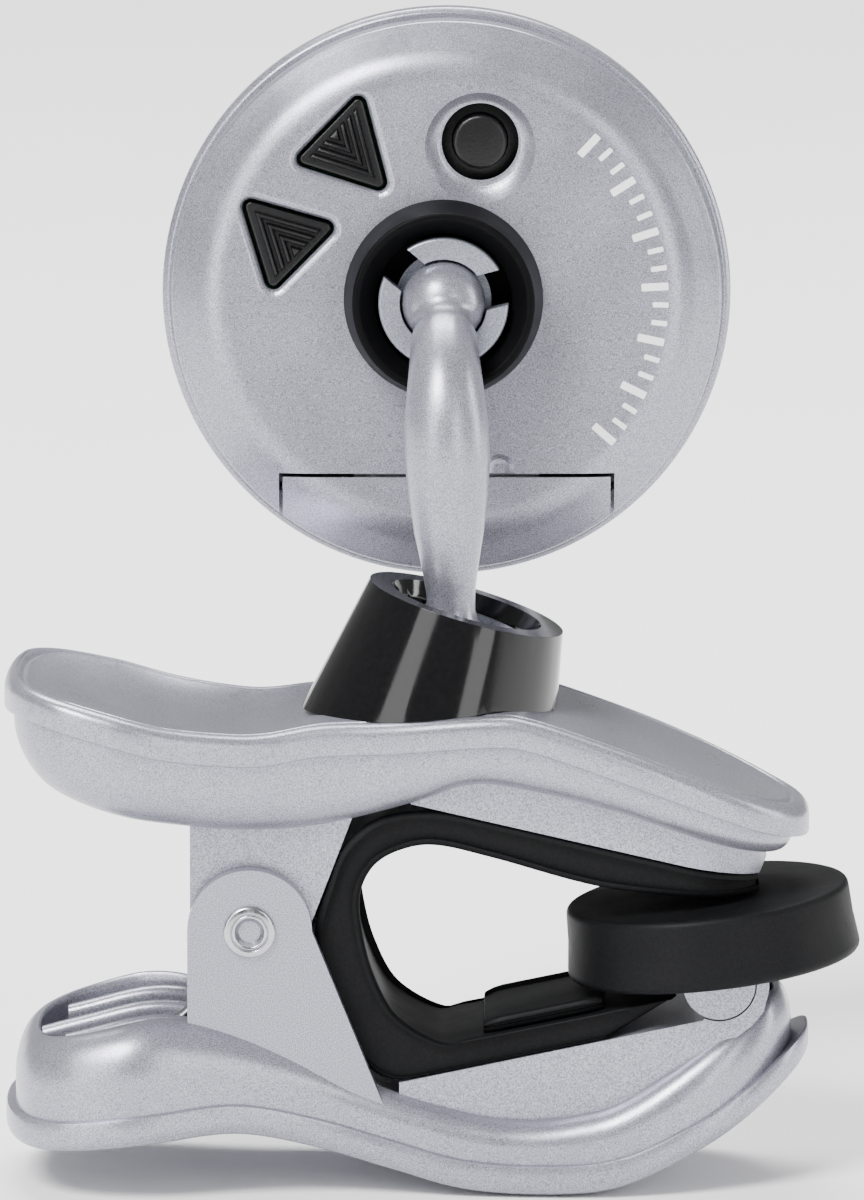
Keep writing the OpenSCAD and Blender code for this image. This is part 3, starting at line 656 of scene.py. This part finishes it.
def build_lower_carrier():
    """The silver cheek in the lower jaw, with the saddle that holds the pad's barrel."""
    pivot = joint_place("pad_tilt")
    bore = BARREL_R + BARREL_GAP
    ways = [(math.cos(a), math.sin(a)) for a in np.radians(np.linspace(*SADDLE_ARC, 33))]
    inner = [(pivot.x + bore * x, pivot.z + bore * z) for x, z in ways]
    outer = [(pivot.x + SADDLE_R * x, pivot.z + SADDLE_R * z) for x, z in ways]
    rise = [p for p in outer[::-1] if p[1] > SADDLE_FOOT and p[0] > pivot.x]
    bm = bmesh.new()
    add_prism(bm, CARRIER_TOP + inner + rise + CARRIER_UNDER, -CARRIER_HALF_W, CARRIER_HALF_W)
    piece("lower_cheek", finish_mesh(bm, "lower_cheek"), ["lower_jaw_carrier"], "lower_lever")


PIN_OUTLINE = [
    (0, 0, 0), (1.3, 0, 0), (1.3, 8.95, 0), (2.0, 8.95, 0.05), (2.0, 9.42, 0.2), (1.5, 9.5, 0.08),
    (1.42, 9.36, 0.05), (1.3, 9.5, 0.08), (1.15, 9.45, 0.1), (0.8, 8.95, 0.1), (0, 8.6, 0),
]


def build_pin():
    """The rivet: a rolled ring and a conical dimple in each head."""
    bm = bmesh.new()
    outline = filleted(PIN_OUTLINE, 3)
    for way in (-1, 1):
        place = Matrix.Translation((PIN[0], 0, PIN[1])) @ Matrix.Rotation(way * math.pi / 2, 4, "X")
        add_part(bm, turned(outline, place, 64))
    piece("rivet", finish_mesh(bm, "rivet"), ["hinge_pin"], "lower_lever")


# ---------------------------------------------------------------- soft jaw lining


LINER_HALF_W = 7.4
LINER_TIP_X = -2.6
LINER_TIP_R = 7.5
LINER_TIP_HALF = 2.0
LINER_BACK = [
    (4.2, 2.17), (0, 3.15), (-8, 5.0), (-16, 6.86), (-20.5, 7.75), (-24.9, 7.3), (-27.8, 5.0),
    (-29.1, 1.9), (-30.0, -1.8), (-29.6, -5.8), (-28.2, -9.4), (-26.3, -12.0), (-24.1, -13.3),
    (-20.5, -12.8), (-14, -11.45), (-8, -10.2), (-0.4, -8.6),
]
LINER_FACE = [
    (4.3, 0.62), (0, 0.85), (-8, 1.8), (-16, 4.0), (-20.5, 5.05), (-23.2, 4.75), (-25.4, 3.5),
    (-26.5, 1.2), (-26.3, -1.8), (-25.4, -5.2), (-23.6, -8.4), (-20.2, -10.4), (-18, -10.05),
    (-14, -9.25), (-8, -8.0), (-2.1, -6.7),
]
RAISED_PAD = [(-17.0, -10.0), (-7.7, -8.1), (-7.9, -6.95), (-16.8, -8.8)]
RAISED_HALF_W = 6.1
RAISED_STEPS = 14
RAISED_ENDS = {0: 0.45, 1: 0.12}


def band_ring(back, face, half_w, radius=0.55, steps=4):
    """A rounded rectangle across the part, from the band's back line to its face."""
    back, face = np.array(back), np.array(face)
    span = face - back
    length = np.linalg.norm(span)
    radius = min(radius, 0.42 * length, 0.9 * half_w)
    ring = []
    corners = [(-1, 0), (1, 0), (1, 1), (-1, 1)]
    for index, (side, end) in enumerate(corners):
        for s in range(steps + 1):
            angle = math.pi / 2 * (s / steps)
            turn = (math.sin(angle), math.cos(angle))
            along, out = turn if index % 2 else (turn[1], turn[0])
            y = side * (half_w - radius + radius * out)
            from_end = radius - radius * along
            t = from_end / length if end == 0 else 1 - from_end / length
            p = back + span * t
            ring.append((p[0], y, p[1]))
    return ring


def add_raised_pad(bm):
    """The raised pad on the lining's lower run, drawn in at both ends."""
    low, high = np.array(RAISED_PAD[:2]), np.array(RAISED_PAD[2:][::-1])
    rings = []
    for s in range(RAISED_STEPS + 1):
        t = s / RAISED_STEPS
        b = low[0] * (1 - t) + low[1] * t
        f = high[0] * (1 - t) + high[1] * t
        shrink = RAISED_ENDS.get(min(s, RAISED_STEPS - s), 0.0)
        rings.append(band_ring(b, f - (f - b) * shrink * 0.4, RAISED_HALF_W - shrink, 0.4))
    add_rings(bm, rings)


def build_liner():
    """One rubber band from the upper jaw, round the bend, to the lower jaw."""
    bm = bmesh.new()
    rings = []
    for back, face in zip(spline(LINER_BACK, 8), spline(LINER_FACE, 8)):
        past_tip = max(back[0], face[0]) - LINER_TIP_X
        half = LINER_HALF_W
        if past_tip > 0 and back[1] > 0:
            half = min(half, math.sqrt(max(LINER_TIP_R**2 - past_tip**2, LINER_TIP_HALF**2)))
        rings.append(band_ring(back, face, half))
    add_rings(bm, rings)
    add_raised_pad(bm)
    obj = piece("jaw_liner", finish_mesh(bm, "jaw_liner"), ["liner_upper", "liner_bend", "liner_lower"])
    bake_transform(obj)


# ---------------------------------------------------------------- swivel pad


PAD_TILT = math.radians(6.5)
PAD_X = 0.3
PAD_TOP_R = 10.97
PAD_FOOT_R = 11.45
PAD_H = 5.6
HOLLOW_R = 4.4
HOLLOW_HALF_L = 8.2
HOLLOW_FOOT = -5.0
PLATE_R = 6.6
PLATE_Z = (-2.4, -1.4)


def build_pad():
    """A rubber puck with a rounded rim, a hollow for its barrel and a slot for the barrel's plate."""
    place = Matrix.Rotation(-PAD_TILT, 4, "Y") @ Matrix.Translation((PAD_X, 0, 0))
    corners = [
        (0, 0, 0), (PAD_TOP_R, 0, 0.6), (PAD_TOP_R + 0.12, -2.6, 0), (PAD_FOOT_R, -PAD_H, 0.7), (0, -PAD_H, 0)
    ]
    puck = finish_mesh(turned(filleted(corners), place), "grip_pad")
    obj = piece("grip_pad", puck, ["swivel_pad"], "pad")
    pivot = joint_place("pad_tilt")
    arch = [(HOLLOW_R * math.cos(a), HOLLOW_R * math.sin(a)) for a in np.linspace(0, math.pi, 25)]
    outline = arch + [(-HOLLOW_R, HOLLOW_FOOT), (HOLLOW_R, HOLLOW_FOOT)]
    hollow = bmesh.new()
    ends = (-HOLLOW_HALF_L, HOLLOW_HALF_L)
    add_rings(hollow, [[(pivot.x + x, y, pivot.z + z) for x, z in outline] for y in ends])
    cut(obj, cutter_object(hollow))
    low, high = PLATE_Z
    plate = [(0, low), (PLATE_R, low), (PLATE_R, high), (0, high)]
    cut(obj, cutter_object(turned(plate, place @ Matrix.Translation((pivot.x - PAD_X, 0, 0)), 48)))
    refined("pad_pivot_barrel", 0.25)


# ---------------------------------------------------------------- stem, sockets and head


def evened(values, passes):
    """The same values with small corners smoothed away, and both ends kept."""
    out = np.array(values, float)
    for _ in range(passes):
        out[1:-1] = (out[:-2] + 2 * out[1:-1] + out[2:]) / 4
    return out


STEM_DROP = math.radians(32)
ELBOW_R = 8.0
BALL_R = 3.25
STEM_SIDES = 48
STEM_FROM = BALL_R * 0.8 + 0.7
POLE_ANGLE = 0.06
NECK_ANGLE = 0.08
STEM_WIDTHS = [
    (0, 1.85), (0.157, 1.88), (0.24, 2.25), (0.32, 2.72), (0.42, 3.1), (0.52, 3.33), (0.6, 3.25),
    (0.685, 2.98), (0.78, 2.7), (0.835, 2.62), (0.87, 2.5), (0.895, 2.1), (0.915, 1.6), (1, 1.6),
]


def stem_path(low, high):
    """Points from the lower ball's centre up to the upper ball's, round one bend."""
    reach = high.y - low.y
    neck = (reach - ELBOW_R * (1 - math.sin(STEM_DROP))) / math.cos(STEM_DROP)
    elbow_z = high.z - neck * math.sin(STEM_DROP) - ELBOW_R * math.cos(STEM_DROP)
    points = [Vector((0, 0, z)) for z in np.linspace(0, elbow_z - low.z, 40)]
    for angle in np.linspace(0, math.pi / 2 - STEM_DROP, 32)[1:]:
        y = ELBOW_R * (1 - math.cos(angle))
        points.append(Vector((0, y, elbow_z - low.z + ELBOW_R * math.sin(angle))))
    start = points[-1]
    end = Vector((0, reach, high.z - low.z))
    points += [start.lerp(end, t) for t in np.linspace(0, 1, 30)[1:]]
    lean = (high.x - low.x) / (high.z - low.z)
    return [low + p + Vector((lean * p.z, 0, 0)) for p in points]


def ring_round(centre, along, radius):
    """A ring of points square to the stem's path."""
    up = along.cross(Vector((1, 0, 0))).normalized()
    side = up.cross(along).normalized()
    angles = np.linspace(0, 2 * math.pi, STEM_SIDES, endpoint=False)
    return [centre + radius * (math.cos(a) * side + math.sin(a) * up) for a in angles]


def build_stem():
    """The stem and its two balls in one skin, along the path between the balls' centres."""
    low, high = joint_place("clip_ball_tilt"), joint_place("head_ball_tilt")
    path = stem_path(low, high)
    lengths = np.concatenate([[0], np.cumsum([(b - a).length for a, b in zip(path, path[1:])])])
    total = lengths[-1]
    knots, widths = zip(*STEM_WIDTHS)
    even = np.linspace(0, 1, 200)
    smooth_widths = evened(np.interp(even, knots, widths), 8)

    def radius_at(length):
        return float(np.interp(length / total, even, smooth_widths))

    tangents = [
        (path[min(i + 1, len(path) - 1)] - path[max(i - 1, 0)]).normalized() for i in range(len(path))
    ]
    rings = []
    low_end = math.pi - math.asin(radius_at(BALL_R) / BALL_R)
    for a in np.linspace(POLE_ANGLE, low_end - NECK_ANGLE, 22):
        rings.append(ring_round(low - tangents[0] * BALL_R * math.cos(a), tangents[0], BALL_R * math.sin(a)))
    for point, along, length in zip(path, tangents, lengths):
        if STEM_FROM < length < total - STEM_FROM:
            rings.append(ring_round(point, along, radius_at(length)))
    high_end = math.asin(radius_at(total - BALL_R) / BALL_R)
    for a in np.linspace(high_end + NECK_ANGLE, math.pi - POLE_ANGLE, 22):
        centre = high - tangents[-1] * BALL_R * math.cos(a)
        rings.append(ring_round(centre, tangents[-1], BALL_R * math.sin(a)))
    bm = bmesh.new()
    add_rings(bm, rings)
    piece("curved_stem", finish_mesh(bm, "curved_stem"), ["ball_stem"], "stem", sharp=60)


CUP_OUTLINE = [
    (0, -3.6, 0), (2.4, -3.8, 0.2), (5.05, -1.4, 0.6), (5.05, 1.0, 0.25), (3.35, 1.0, 0.15),
    (3.5, 0, 2), (3.2, -1.6, 1.5), (1.8, -2.9, 0.5), (0, -3.1, 0),
]
CLIP_CUP_RIM = [(5.05, 2.7, 0.1), (4.75, 2.7, 0.1), (3.4, 0.9, 0.4)]
CLIP_CUP_OUTLINE = CUP_OUTLINE[:3] + CLIP_CUP_RIM + CUP_OUTLINE[5:]
CUP_SLOT_W = 2.8
CUP_SLOTS = (15, 140, 260)
HEAD_COLLAR = [
    (0, -0.9, 0), (6.35, -0.9, 0), (6.35, 0, 0), (7.75, 0, 0), (7.05, 5.0, 0.45), (6.5, 5.0, 0.3),
    (5.35, 3.3, 0.2), (5.35, -0.6, 0), (0, -0.6, 0),
]


def clip_socket_place():
    """The clip's socket: its origin at the ball's centre and its Z axis along the collar."""
    lean = Vector(JOINTS["clip_ball_spin"]["axis"])
    turn = Vector((0, 0, 1)).rotation_difference(lean).to_matrix().to_4x4()
    return Matrix.Translation(joint_place("clip_ball_spin")) @ turn


def socket_cup(node, place, outline):
    """A split cup: its wall is cut into three springy fingers round the ball."""
    mesh = finish_mesh(turned(filleted(outline), place, 96), node)
    obj = piece(node + "_fingers", mesh, [node], node_body(node))
    half = CUP_SLOT_W / 2
    for angle in CUP_SLOTS:
        turn = place @ Matrix.Rotation(math.radians(angle), 4, "Z")
        cut(obj, cutter_object(block_between((1.0, -half, -2.6), (7, half, 3), turn)))


def head_socket_axis(head):
    """The head's axes moved along its back to the socket's middle."""
    return head @ Matrix.Translation((-BALL_TO_HEAD.x, -BALL_TO_HEAD.y, 0))


def build_sockets():
    """The collar and the split cup on the clip, and those on the head."""
    refined("clip_socket_collar", 0.3, 4)
    socket_cup("clip_socket_cup", clip_socket_place(), CLIP_CUP_OUTLINE)
    head = head_place()
    mesh = finish_mesh(turned(filleted(HEAD_COLLAR), head_socket_axis(head)), "head_collar")
    collar = piece("head_collar", mesh, ["head_socket_collar"], "head")
    collar.data.materials[0] = BLACK_SATIN
    socket_cup("head_socket_cup", head @ Matrix.Translation(-BALL_TO_HEAD), CUP_OUTLINE)


HEAD_PITCH = math.radians(5)
BALL_TO_HEAD = Vector((0.25, 0.1, -3.4))
SHELL_WALL = 1.2
FAR = 40
SHELL_OUTLINE = [
    (0, 0, 0), (18.3, 0, 4.5), (20.75, -2.0, 1.0), (21.4, -2.5, 0.4), (21.4, -7, 0), (20.2, -7, 0),
    (20.2, -3.1, 0.5), (17.9, -SHELL_WALL, 2.0), (0, -SHELL_WALL, 0),
]
BUTTON_A = [(-6.67, 15.8), (-11.7, 10.6), (-4.73, 8.37)]
BUTTON_B = [(-8.68, 5.58), (-13.64, 0.54), (-15.8, 7.6)]
BUTTON_CORNER = 0.4
BUTTON_TOP = -0.45
BUTTON_FOOT = -2.4
RIDGE_PITCH = 1.3
RIDGE_W = 0.68
RIDGE_H = 0.5
RIDGE_COUNT = 4
RIDGE_FLARE = 1.7
RIDGE_TRIM = 0.55
RIDGE_EDGE = ((0.06, -0.1), (0.03, RIDGE_H * 0.6), (-0.05, RIDGE_H * 0.9), (-0.14, RIDGE_H))
BUTTON_EDGE = ((-0.3, 0.05), (-0.08, -0.03), (0, -0.2))
POCKET_EDGE = [
    (0.5, 0.95), (0.02, 0.95), (-0.05, 0.72), (-0.16, 0.5), (-0.32, 0.36), (-0.5, 0.3), (-3.0, 0.3),
]
POWER_AT = (2.6, 12.1)
POWER_DROP = 0.45
POWER_DISH_R = 4.35
POWER_DISH_DEEP = 0.98
POWER_HOLE_R = 3.0
POWER_KEY = [
    (0, -0.4, 0), (2.1, -0.45, 0.35), (2.15, -2.6, 0.1), (3.4, -2.7, 0), (3.4, -3.1, 0), (0, -3.1, 0),
]
SOCKET_BORE = [(0, -4), (6.4, -4), (6.4, 1), (0, 1)]
DOOR_HALF_W = 13.05
DOOR_TOP = -13.7
DOOR_GAP = 0.3
DOOR_FLOOR = -6.1
NOTCH_AT = (4.1, -13.4)
NOTCH_LEVELS = ((-0.3, 0.5), (-0.24, 0.85), (0.02, 1.25), (0.3, 1.4))
TICK_R = 16.2
TICK_ANGLES = (-41, 47)
TICK_COUNT = 19
TICK_CORNER = 0.1
LONG_TICK = (1.05, 0.3)
SHORT_TICK = (0.62, 0.2)


def head_place():
    """Head axes: x right, y up, z out of its back, from the middle of the flat back."""
    turn = Matrix.Rotation(math.pi / 2 - HEAD_PITCH, 4, "X")
    return Matrix.Translation(joint_place("head_ball_tilt")) @ turn @ Matrix.Translation(BALL_TO_HEAD)


def grown(points, edge):
    """A triangle's outline pushed out by edge, with rounded corners."""
    turn = (Vector(points[1]) - Vector(points[0])).cross(Vector(points[2]) - Vector(points[1]))
    ordered = [Vector(p) for p in (points if turn > 0 else points[::-1])]
    radius = BUTTON_CORNER + edge
    out = []
    for i, here in enumerate(ordered):
        back = (here - ordered[i - 1]).normalized()
        ahead = (ordered[(i + 1) % 3] - here).normalized()
        half = (math.pi - back.angle(ahead)) / 2
        centre = here - (back - ahead).normalized() * BUTTON_CORNER / math.sin(half)
        first = math.atan2(-back.x, back.y)
        last = math.atan2(-ahead.x, ahead.y)
        if last < first:
            last += 2 * math.pi
        for a in np.linspace(first, last, 7):
            out.append((centre.x + radius * math.cos(a), centre.y + radius * math.sin(a)))
    return out


def stack(levels, place):
    """A closed solid through equal outlines at their heights: levels of (height, outline)."""
    bm = bmesh.new()
    rings = [[tuple(place @ Vector((x, y, z))) for x, y in outline] for z, outline in levels]
    add_rings(bm, rings)
    return bm


def block_between(low, high, place):
    """A solid block between two corners, in the placement's axes."""
    x0, y0, z0 = low
    x1, y1, z1 = high
    outline = [(x0, y0), (x1, y0), (x1, y1), (x0, y1)]
    return stack([(z0, outline), (z1, outline)], place)


def circle(centre, radius, count=72):
    """Points round a circle."""
    angles = np.linspace(0, 2 * math.pi, count, endpoint=False)
    return [(centre[0] + radius * math.cos(a), centre[1] + radius * math.sin(a)) for a in angles]


def shell_mesh(place):
    """The whole back shell, before anything is cut from it."""
    return turned(filleted(SHELL_OUTLINE, 9), place, 288)


def power_dish():
    """Levels of the round key's dish and of the hole at its bottom."""
    middle = (POWER_AT[0], POWER_AT[1] - POWER_DROP)
    levels = [(0.6, circle(middle, POWER_DISH_R))]
    for t in np.linspace(0, 1, 9):
        centre = (POWER_AT[0], POWER_AT[1] - POWER_DROP * (1 - t))
        height = 0.06 - POWER_DISH_DEEP * math.sin(t * math.pi / 2)
        levels.append((height, circle(centre, POWER_DISH_R + (POWER_HOLE_R - POWER_DISH_R) * t)))
    levels.append((-3.0, circle(POWER_AT, POWER_HOLE_R)))
    return levels


def build_shell(place):
    """The back shell with its button pockets, dish, socket bore, door window and nail notch."""
    mesh = finish_mesh(shell_mesh(place), "head_shell")
    shell = piece("head_shell", mesh, ["head_back_shell"], "head", 30)
    for points in (BUTTON_A, BUTTON_B):
        levels = [(z, grown(points, edge)) for z, edge in POCKET_EDGE]
        cut(shell, cutter_object(stack(levels, place)))
    cut(shell, cutter_object(stack(power_dish(), place)))
    cut(shell, cutter_object(turned(SOCKET_BORE, head_socket_axis(place), 72)))
    window = ((-DOOR_HALF_W, -FAR, DOOR_FLOOR), (DOOR_HALF_W, DOOR_TOP, 4))
    cut(shell, cutter_object(block_between(*window, place)))
    notch = [(z, circle(NOTCH_AT, radius, 32)) for z, radius in NOTCH_LEVELS]
    cut(shell, cutter_object(stack(notch, place)))


def build_door(place):
    """The battery door: what the window leaves of the shell's own shape, less a gap all round."""
    mesh = finish_mesh(shell_mesh(place), "battery_cover")
    door = piece("battery_cover", mesh, ["battery_door"], "door", 30)
    half, top = DOOR_HALF_W - DOOR_GAP, DOOR_TOP - DOOR_GAP
    low, high = (-FAR, -FAR, -FAR), (FAR, FAR, FAR)
    cut(door, cutter_object(block_between((-FAR, top, -FAR), high, place)))
    cut(door, cutter_object(block_between(low, (-half, FAR, FAR), place)))
    cut(door, cutter_object(block_between((half, -FAR, -FAR), high, place)))
    cut(door, cutter_object(block_between(low, (FAR, FAR, DOOR_FLOOR + DOOR_GAP), place)))


def build_head():
    """The head: shell, door, bezel, lens, its three keys, the printed ticks and the display."""
    place = head_place()
    build_shell(place)
    build_door(place)
    refined("head_front_bezel", 0.3)
    refined("display_lens", 0.2)
    build_triangle_button("upper_button", BUTTON_A, place, "upper_key")
    build_triangle_button("lower_button", BUTTON_B, place, "lower_key")
    centre = place @ Matrix.Translation((POWER_AT[0], POWER_AT[1], 0))
    key = finish_mesh(turned(filleted(POWER_KEY), centre, 72), "round_key")
    piece("round_key", key, ["power_button"], "power_key")
    build_ticks(place)
    build_display(place)


def build_triangle_button(node, points, place, body):
    """A rubber key with raised chevrons that point at its last corner."""
    levels = [(BUTTON_TOP + rise, grown(points, edge)) for rise, edge in BUTTON_EDGE]
    bm = stack([(BUTTON_FOOT, grown(points, BUTTON_EDGE[0][1]))] + levels, place)
    corner = Vector(points[2])
    ends = [Vector(p) for p in points[:2]]
    back = (ends[0] + ends[1]) / 2
    way = (back - corner).normalized()
    length = (back - corner).length
    for i in range(1, RIDGE_COUNT + 1):
        rings = []
        for grow, rise in RIDGE_EDGE:
            outer = RIDGE_PITCH * i - grow * RIDGE_FLARE
            inner = RIDGE_PITCH * i + RIDGE_W + grow * RIDGE_FLARE
            trim = RIDGE_TRIM - grow
            if i == RIDGE_COUNT:
                inner = length - trim
            outline = ridge_outline(corner, ends, way, length, outer, inner, trim)
            rings.append([tuple(place @ Vector((p.x, p.y, BUTTON_TOP + rise))) for p in outline])
        add_rings(bm, rings)
    piece(node + "_chevrons", finish_mesh(bm, node), [node], body, sharp=30)


def ridge_outline(corner, ends, way, length, outer, inner, trim):
    """One V-shaped ridge: its two arms run from the point back to the key's far side."""

    def arm(shift, end):
        apex = corner + way * shift
        share = max(0.0, 1 - (shift + trim) / length)
        return apex + (end - corner) * share

    return [
        arm(outer, ends[0]), corner + way * outer, arm(outer, ends[1]),
        arm(inner, ends[1]), corner + way * inner, arm(inner, ends[0]),
    ]


def box_outline(half_l, half_w, corner=0):
    """A rectangle about the origin as filleted() corners."""
    signs = ((-1, -1), (1, -1), (1, 1), (-1, 1))
    return [(half_l * x, half_w * y, corner) for x, y in signs]


def build_ticks(place):
    """A plain printed scale of tick marks round one side of the back, every third one longer."""
    bm = bmesh.new()
    for k, angle in enumerate(np.radians(np.linspace(*TICK_ANGLES, TICK_COUNT))):
        half_l, half_w = LONG_TICK if k % 3 == 0 else SHORT_TICK
        shift = Matrix.Translation((TICK_R + LONG_TICK[0] - half_l, 0, 0))
        turn = place @ Matrix.Rotation(angle, 4, "Z") @ shift
        outline = filleted(box_outline(half_l, half_w, TICK_CORNER), 3)
        add_part(bm, stack([(z, outline) for z in (-0.1, PRINT_RISE)], turn))
    obj = piece("tick_marks", finish_mesh(bm, "tick_marks"), [], "head", slot="silver_plastic")
    obj.data.materials[0] = PRINT_WHITE


LCD_HALF = (12.2, 8.4)
LCD_CORNER = 1.4
PRINT_RISE = 0.03
DIAL_CENTRE = (0, -11.0, 0)
DIAL_R = 15.6
DIAL_SPREAD = 37
DIAL_SIDE_COUNT = 10
DIAL_NEEDLE = (5.0, 0.22)
DIAL_LONG = (1.1, 0.16)
DIAL_SHORT = (0.6, 0.1)


def build_display(place):
    """The front: a pale window in the dark lens, with a plain arc of marks and a needle in its middle."""
    lens = frame["nodes"]["display_lens"].data
    inward = place.inverted()
    front = min((inward @ (vertex.co / MM)).z for vertex in lens.vertices)
    outline = filleted(box_outline(*LCD_HALF, LCD_CORNER))
    bm = stack([(front - PRINT_RISE, outline), (front + 0.1, outline)], place)
    piece("display_window", finish_mesh(bm, "display_window"), [], "head", slot="display_grey")
    bm = bmesh.new()
    for k in range(-DIAL_SIDE_COUNT, DIAL_SIDE_COUNT + 1):
        angle = math.radians(90 + DIAL_SPREAD * k / DIAL_SIDE_COUNT)
        half_l, half_w = DIAL_LONG if k % 5 == 0 else DIAL_SHORT
        if k == 0:
            half_l, half_w = DIAL_NEEDLE
        spin = Matrix.Translation(DIAL_CENTRE) @ Matrix.Rotation(angle, 4, "Z")
        turn = place @ spin @ Matrix.Translation((DIAL_R + DIAL_LONG[0] - half_l, 0, 0))
        outline = filleted(box_outline(half_l, half_w))
        add_part(bm, stack([(z, outline) for z in (front - 2 * PRINT_RISE, front)], turn))
    piece("display_marks", finish_mesh(bm, "display_marks"), [], "head", slot="switch_black")


def build_spring():
    """The torsion spring's wire, smooth all round."""
    bm = bmesh.new()
    bm.from_mesh(frame["nodes"]["torsion_spring"].data)
    bmesh.ops.remove_doubles(bm, verts=bm.verts, dist=WELD)
    obj = piece("spring_wire", finish_mesh(bm, "spring_wire"), ["torsion_spring"], sharp=60)
    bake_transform(obj)


def paint_the_rest():
    """CAD nodes that keep their own mesh get their slot's material."""
    for name, node in frame["nodes"].items():
        node.data.materials.clear()
        node.data.materials.append(MATERIALS[SLOTS[name]])


# ---------------------------------------------------------------- setting


CAMERA_RISE = math.radians(10.5)
CAMERA_FAR = 1.2
LOOK_AT = Vector((-20.97, 0, 22.98)) * MM
PICTURE_HEIGHT = 92.6 * MM
FILM_HEIGHT = 36.0
FLOOR_SIZE = 3.0
FLOOR_DROP = 0.2 * MM
FLOOR_TINT = (0.95, 0.97)
FLOOR_GRAIN = 40.0
FLOOR_ROUGH = 0.9
SUN_STRENGTH = 5.3
SUN_SOFTNESS = math.radians(22)
SUN_WAY = Vector((0.38, 0.55, -0.75))
WORLD_STRENGTH = 0.33
AREA_LIGHTS = (
    ("left_strip", (-0.42, -0.5, 0.22), (0.26, 0.5), 1.8),
    ("right_strip", (0.34, -0.62, 0.2), (0.24, 0.5), 1.6),
    ("edge_strip", (0.7, 0.05, 0.2), (0.12, 0.5), 2.0),
    ("top", (-0.05, 0.3, 0.65), (0.5, 0.3), 8.0),
)


def build_camera():
    """The camera, in front of the clip and a little above it."""
    camera = bpy.data.cameras.new("camera")
    camera.sensor_fit = "VERTICAL"
    camera.sensor_height = FILM_HEIGHT
    camera.lens = FILM_HEIGHT * CAMERA_FAR / PICTURE_HEIGHT
    camera.clip_end = 20.0
    obj = bpy.data.objects.new("camera", camera)
    bpy.context.scene.collection.objects.link(obj)
    away = Vector((0, -math.cos(CAMERA_RISE), math.sin(CAMERA_RISE)))
    obj.location = LOOK_AT + away * CAMERA_FAR
    obj.rotation_euler = (-away).to_track_quat("-Z", "Y").to_euler()
    bpy.context.scene.camera = obj


def area_light(name, place, size, power):
    """A soft rectangular lamp that faces the object."""
    light = bpy.data.lights.new(name, "AREA")
    light.shape = "RECTANGLE"
    light.size, light.size_y = size
    light.energy = power
    obj = bpy.data.objects.new(name, light)
    bpy.context.scene.collection.objects.link(obj)
    obj.location = place
    obj.rotation_euler = (LOOK_AT - Vector(place)).to_track_quat("-Z", "Y").to_euler()


def build_floor():
    """A plain pale floor just under the object."""
    bm = bmesh.new()
    bmesh.ops.create_grid(bm, x_segments=8, y_segments=8, size=FLOOR_SIZE)
    bm.transform(Matrix.Translation((0, 0, cad_box[0][2] - FLOOR_DROP)))
    floor = bpy.data.objects.new("floor", finish_mesh(bm, "floor"))
    bpy.context.scene.collection.objects.link(floor)
    material, tree, shader = node_material("pale_floor")
    grain = noise_node(tree, FLOOR_GRAIN)
    tint = ramp_node(tree, grain.outputs["Fac"], *FLOOR_TINT)
    tree.links.new(tint.outputs["Color"], shader.inputs["Base Color"])
    shader.inputs["Roughness"].default_value = FLOOR_ROUGH
    floor.data.materials.append(material)


def build_studio():
    """Floor, a soft sun, four strips of light and a pale sky."""
    build_floor()
    sun = bpy.data.lights.new("daylight", "SUN")
    sun.energy = SUN_STRENGTH
    sun.angle = SUN_SOFTNESS
    daylight = bpy.data.objects.new("daylight", sun)
    bpy.context.scene.collection.objects.link(daylight)
    daylight.rotation_euler = SUN_WAY.to_track_quat("-Z", "Y").to_euler()
    for name, place, size, power in AREA_LIGHTS:
        area_light(name, place, size, power)
    world = bpy.data.worlds.new("studio")
    bpy.context.scene.world = world
    world.use_nodes = True
    background = world.node_tree.nodes["Background"]
    background.inputs["Color"].default_value = (1, 1, 1, 1)
    background.inputs["Strength"].default_value = WORLD_STRENGTH


build_camera()
build_levers()
build_liner()
build_pad()
build_stem()
build_sockets()
build_head()
build_spring()
paint_the_rest()
build_studio()
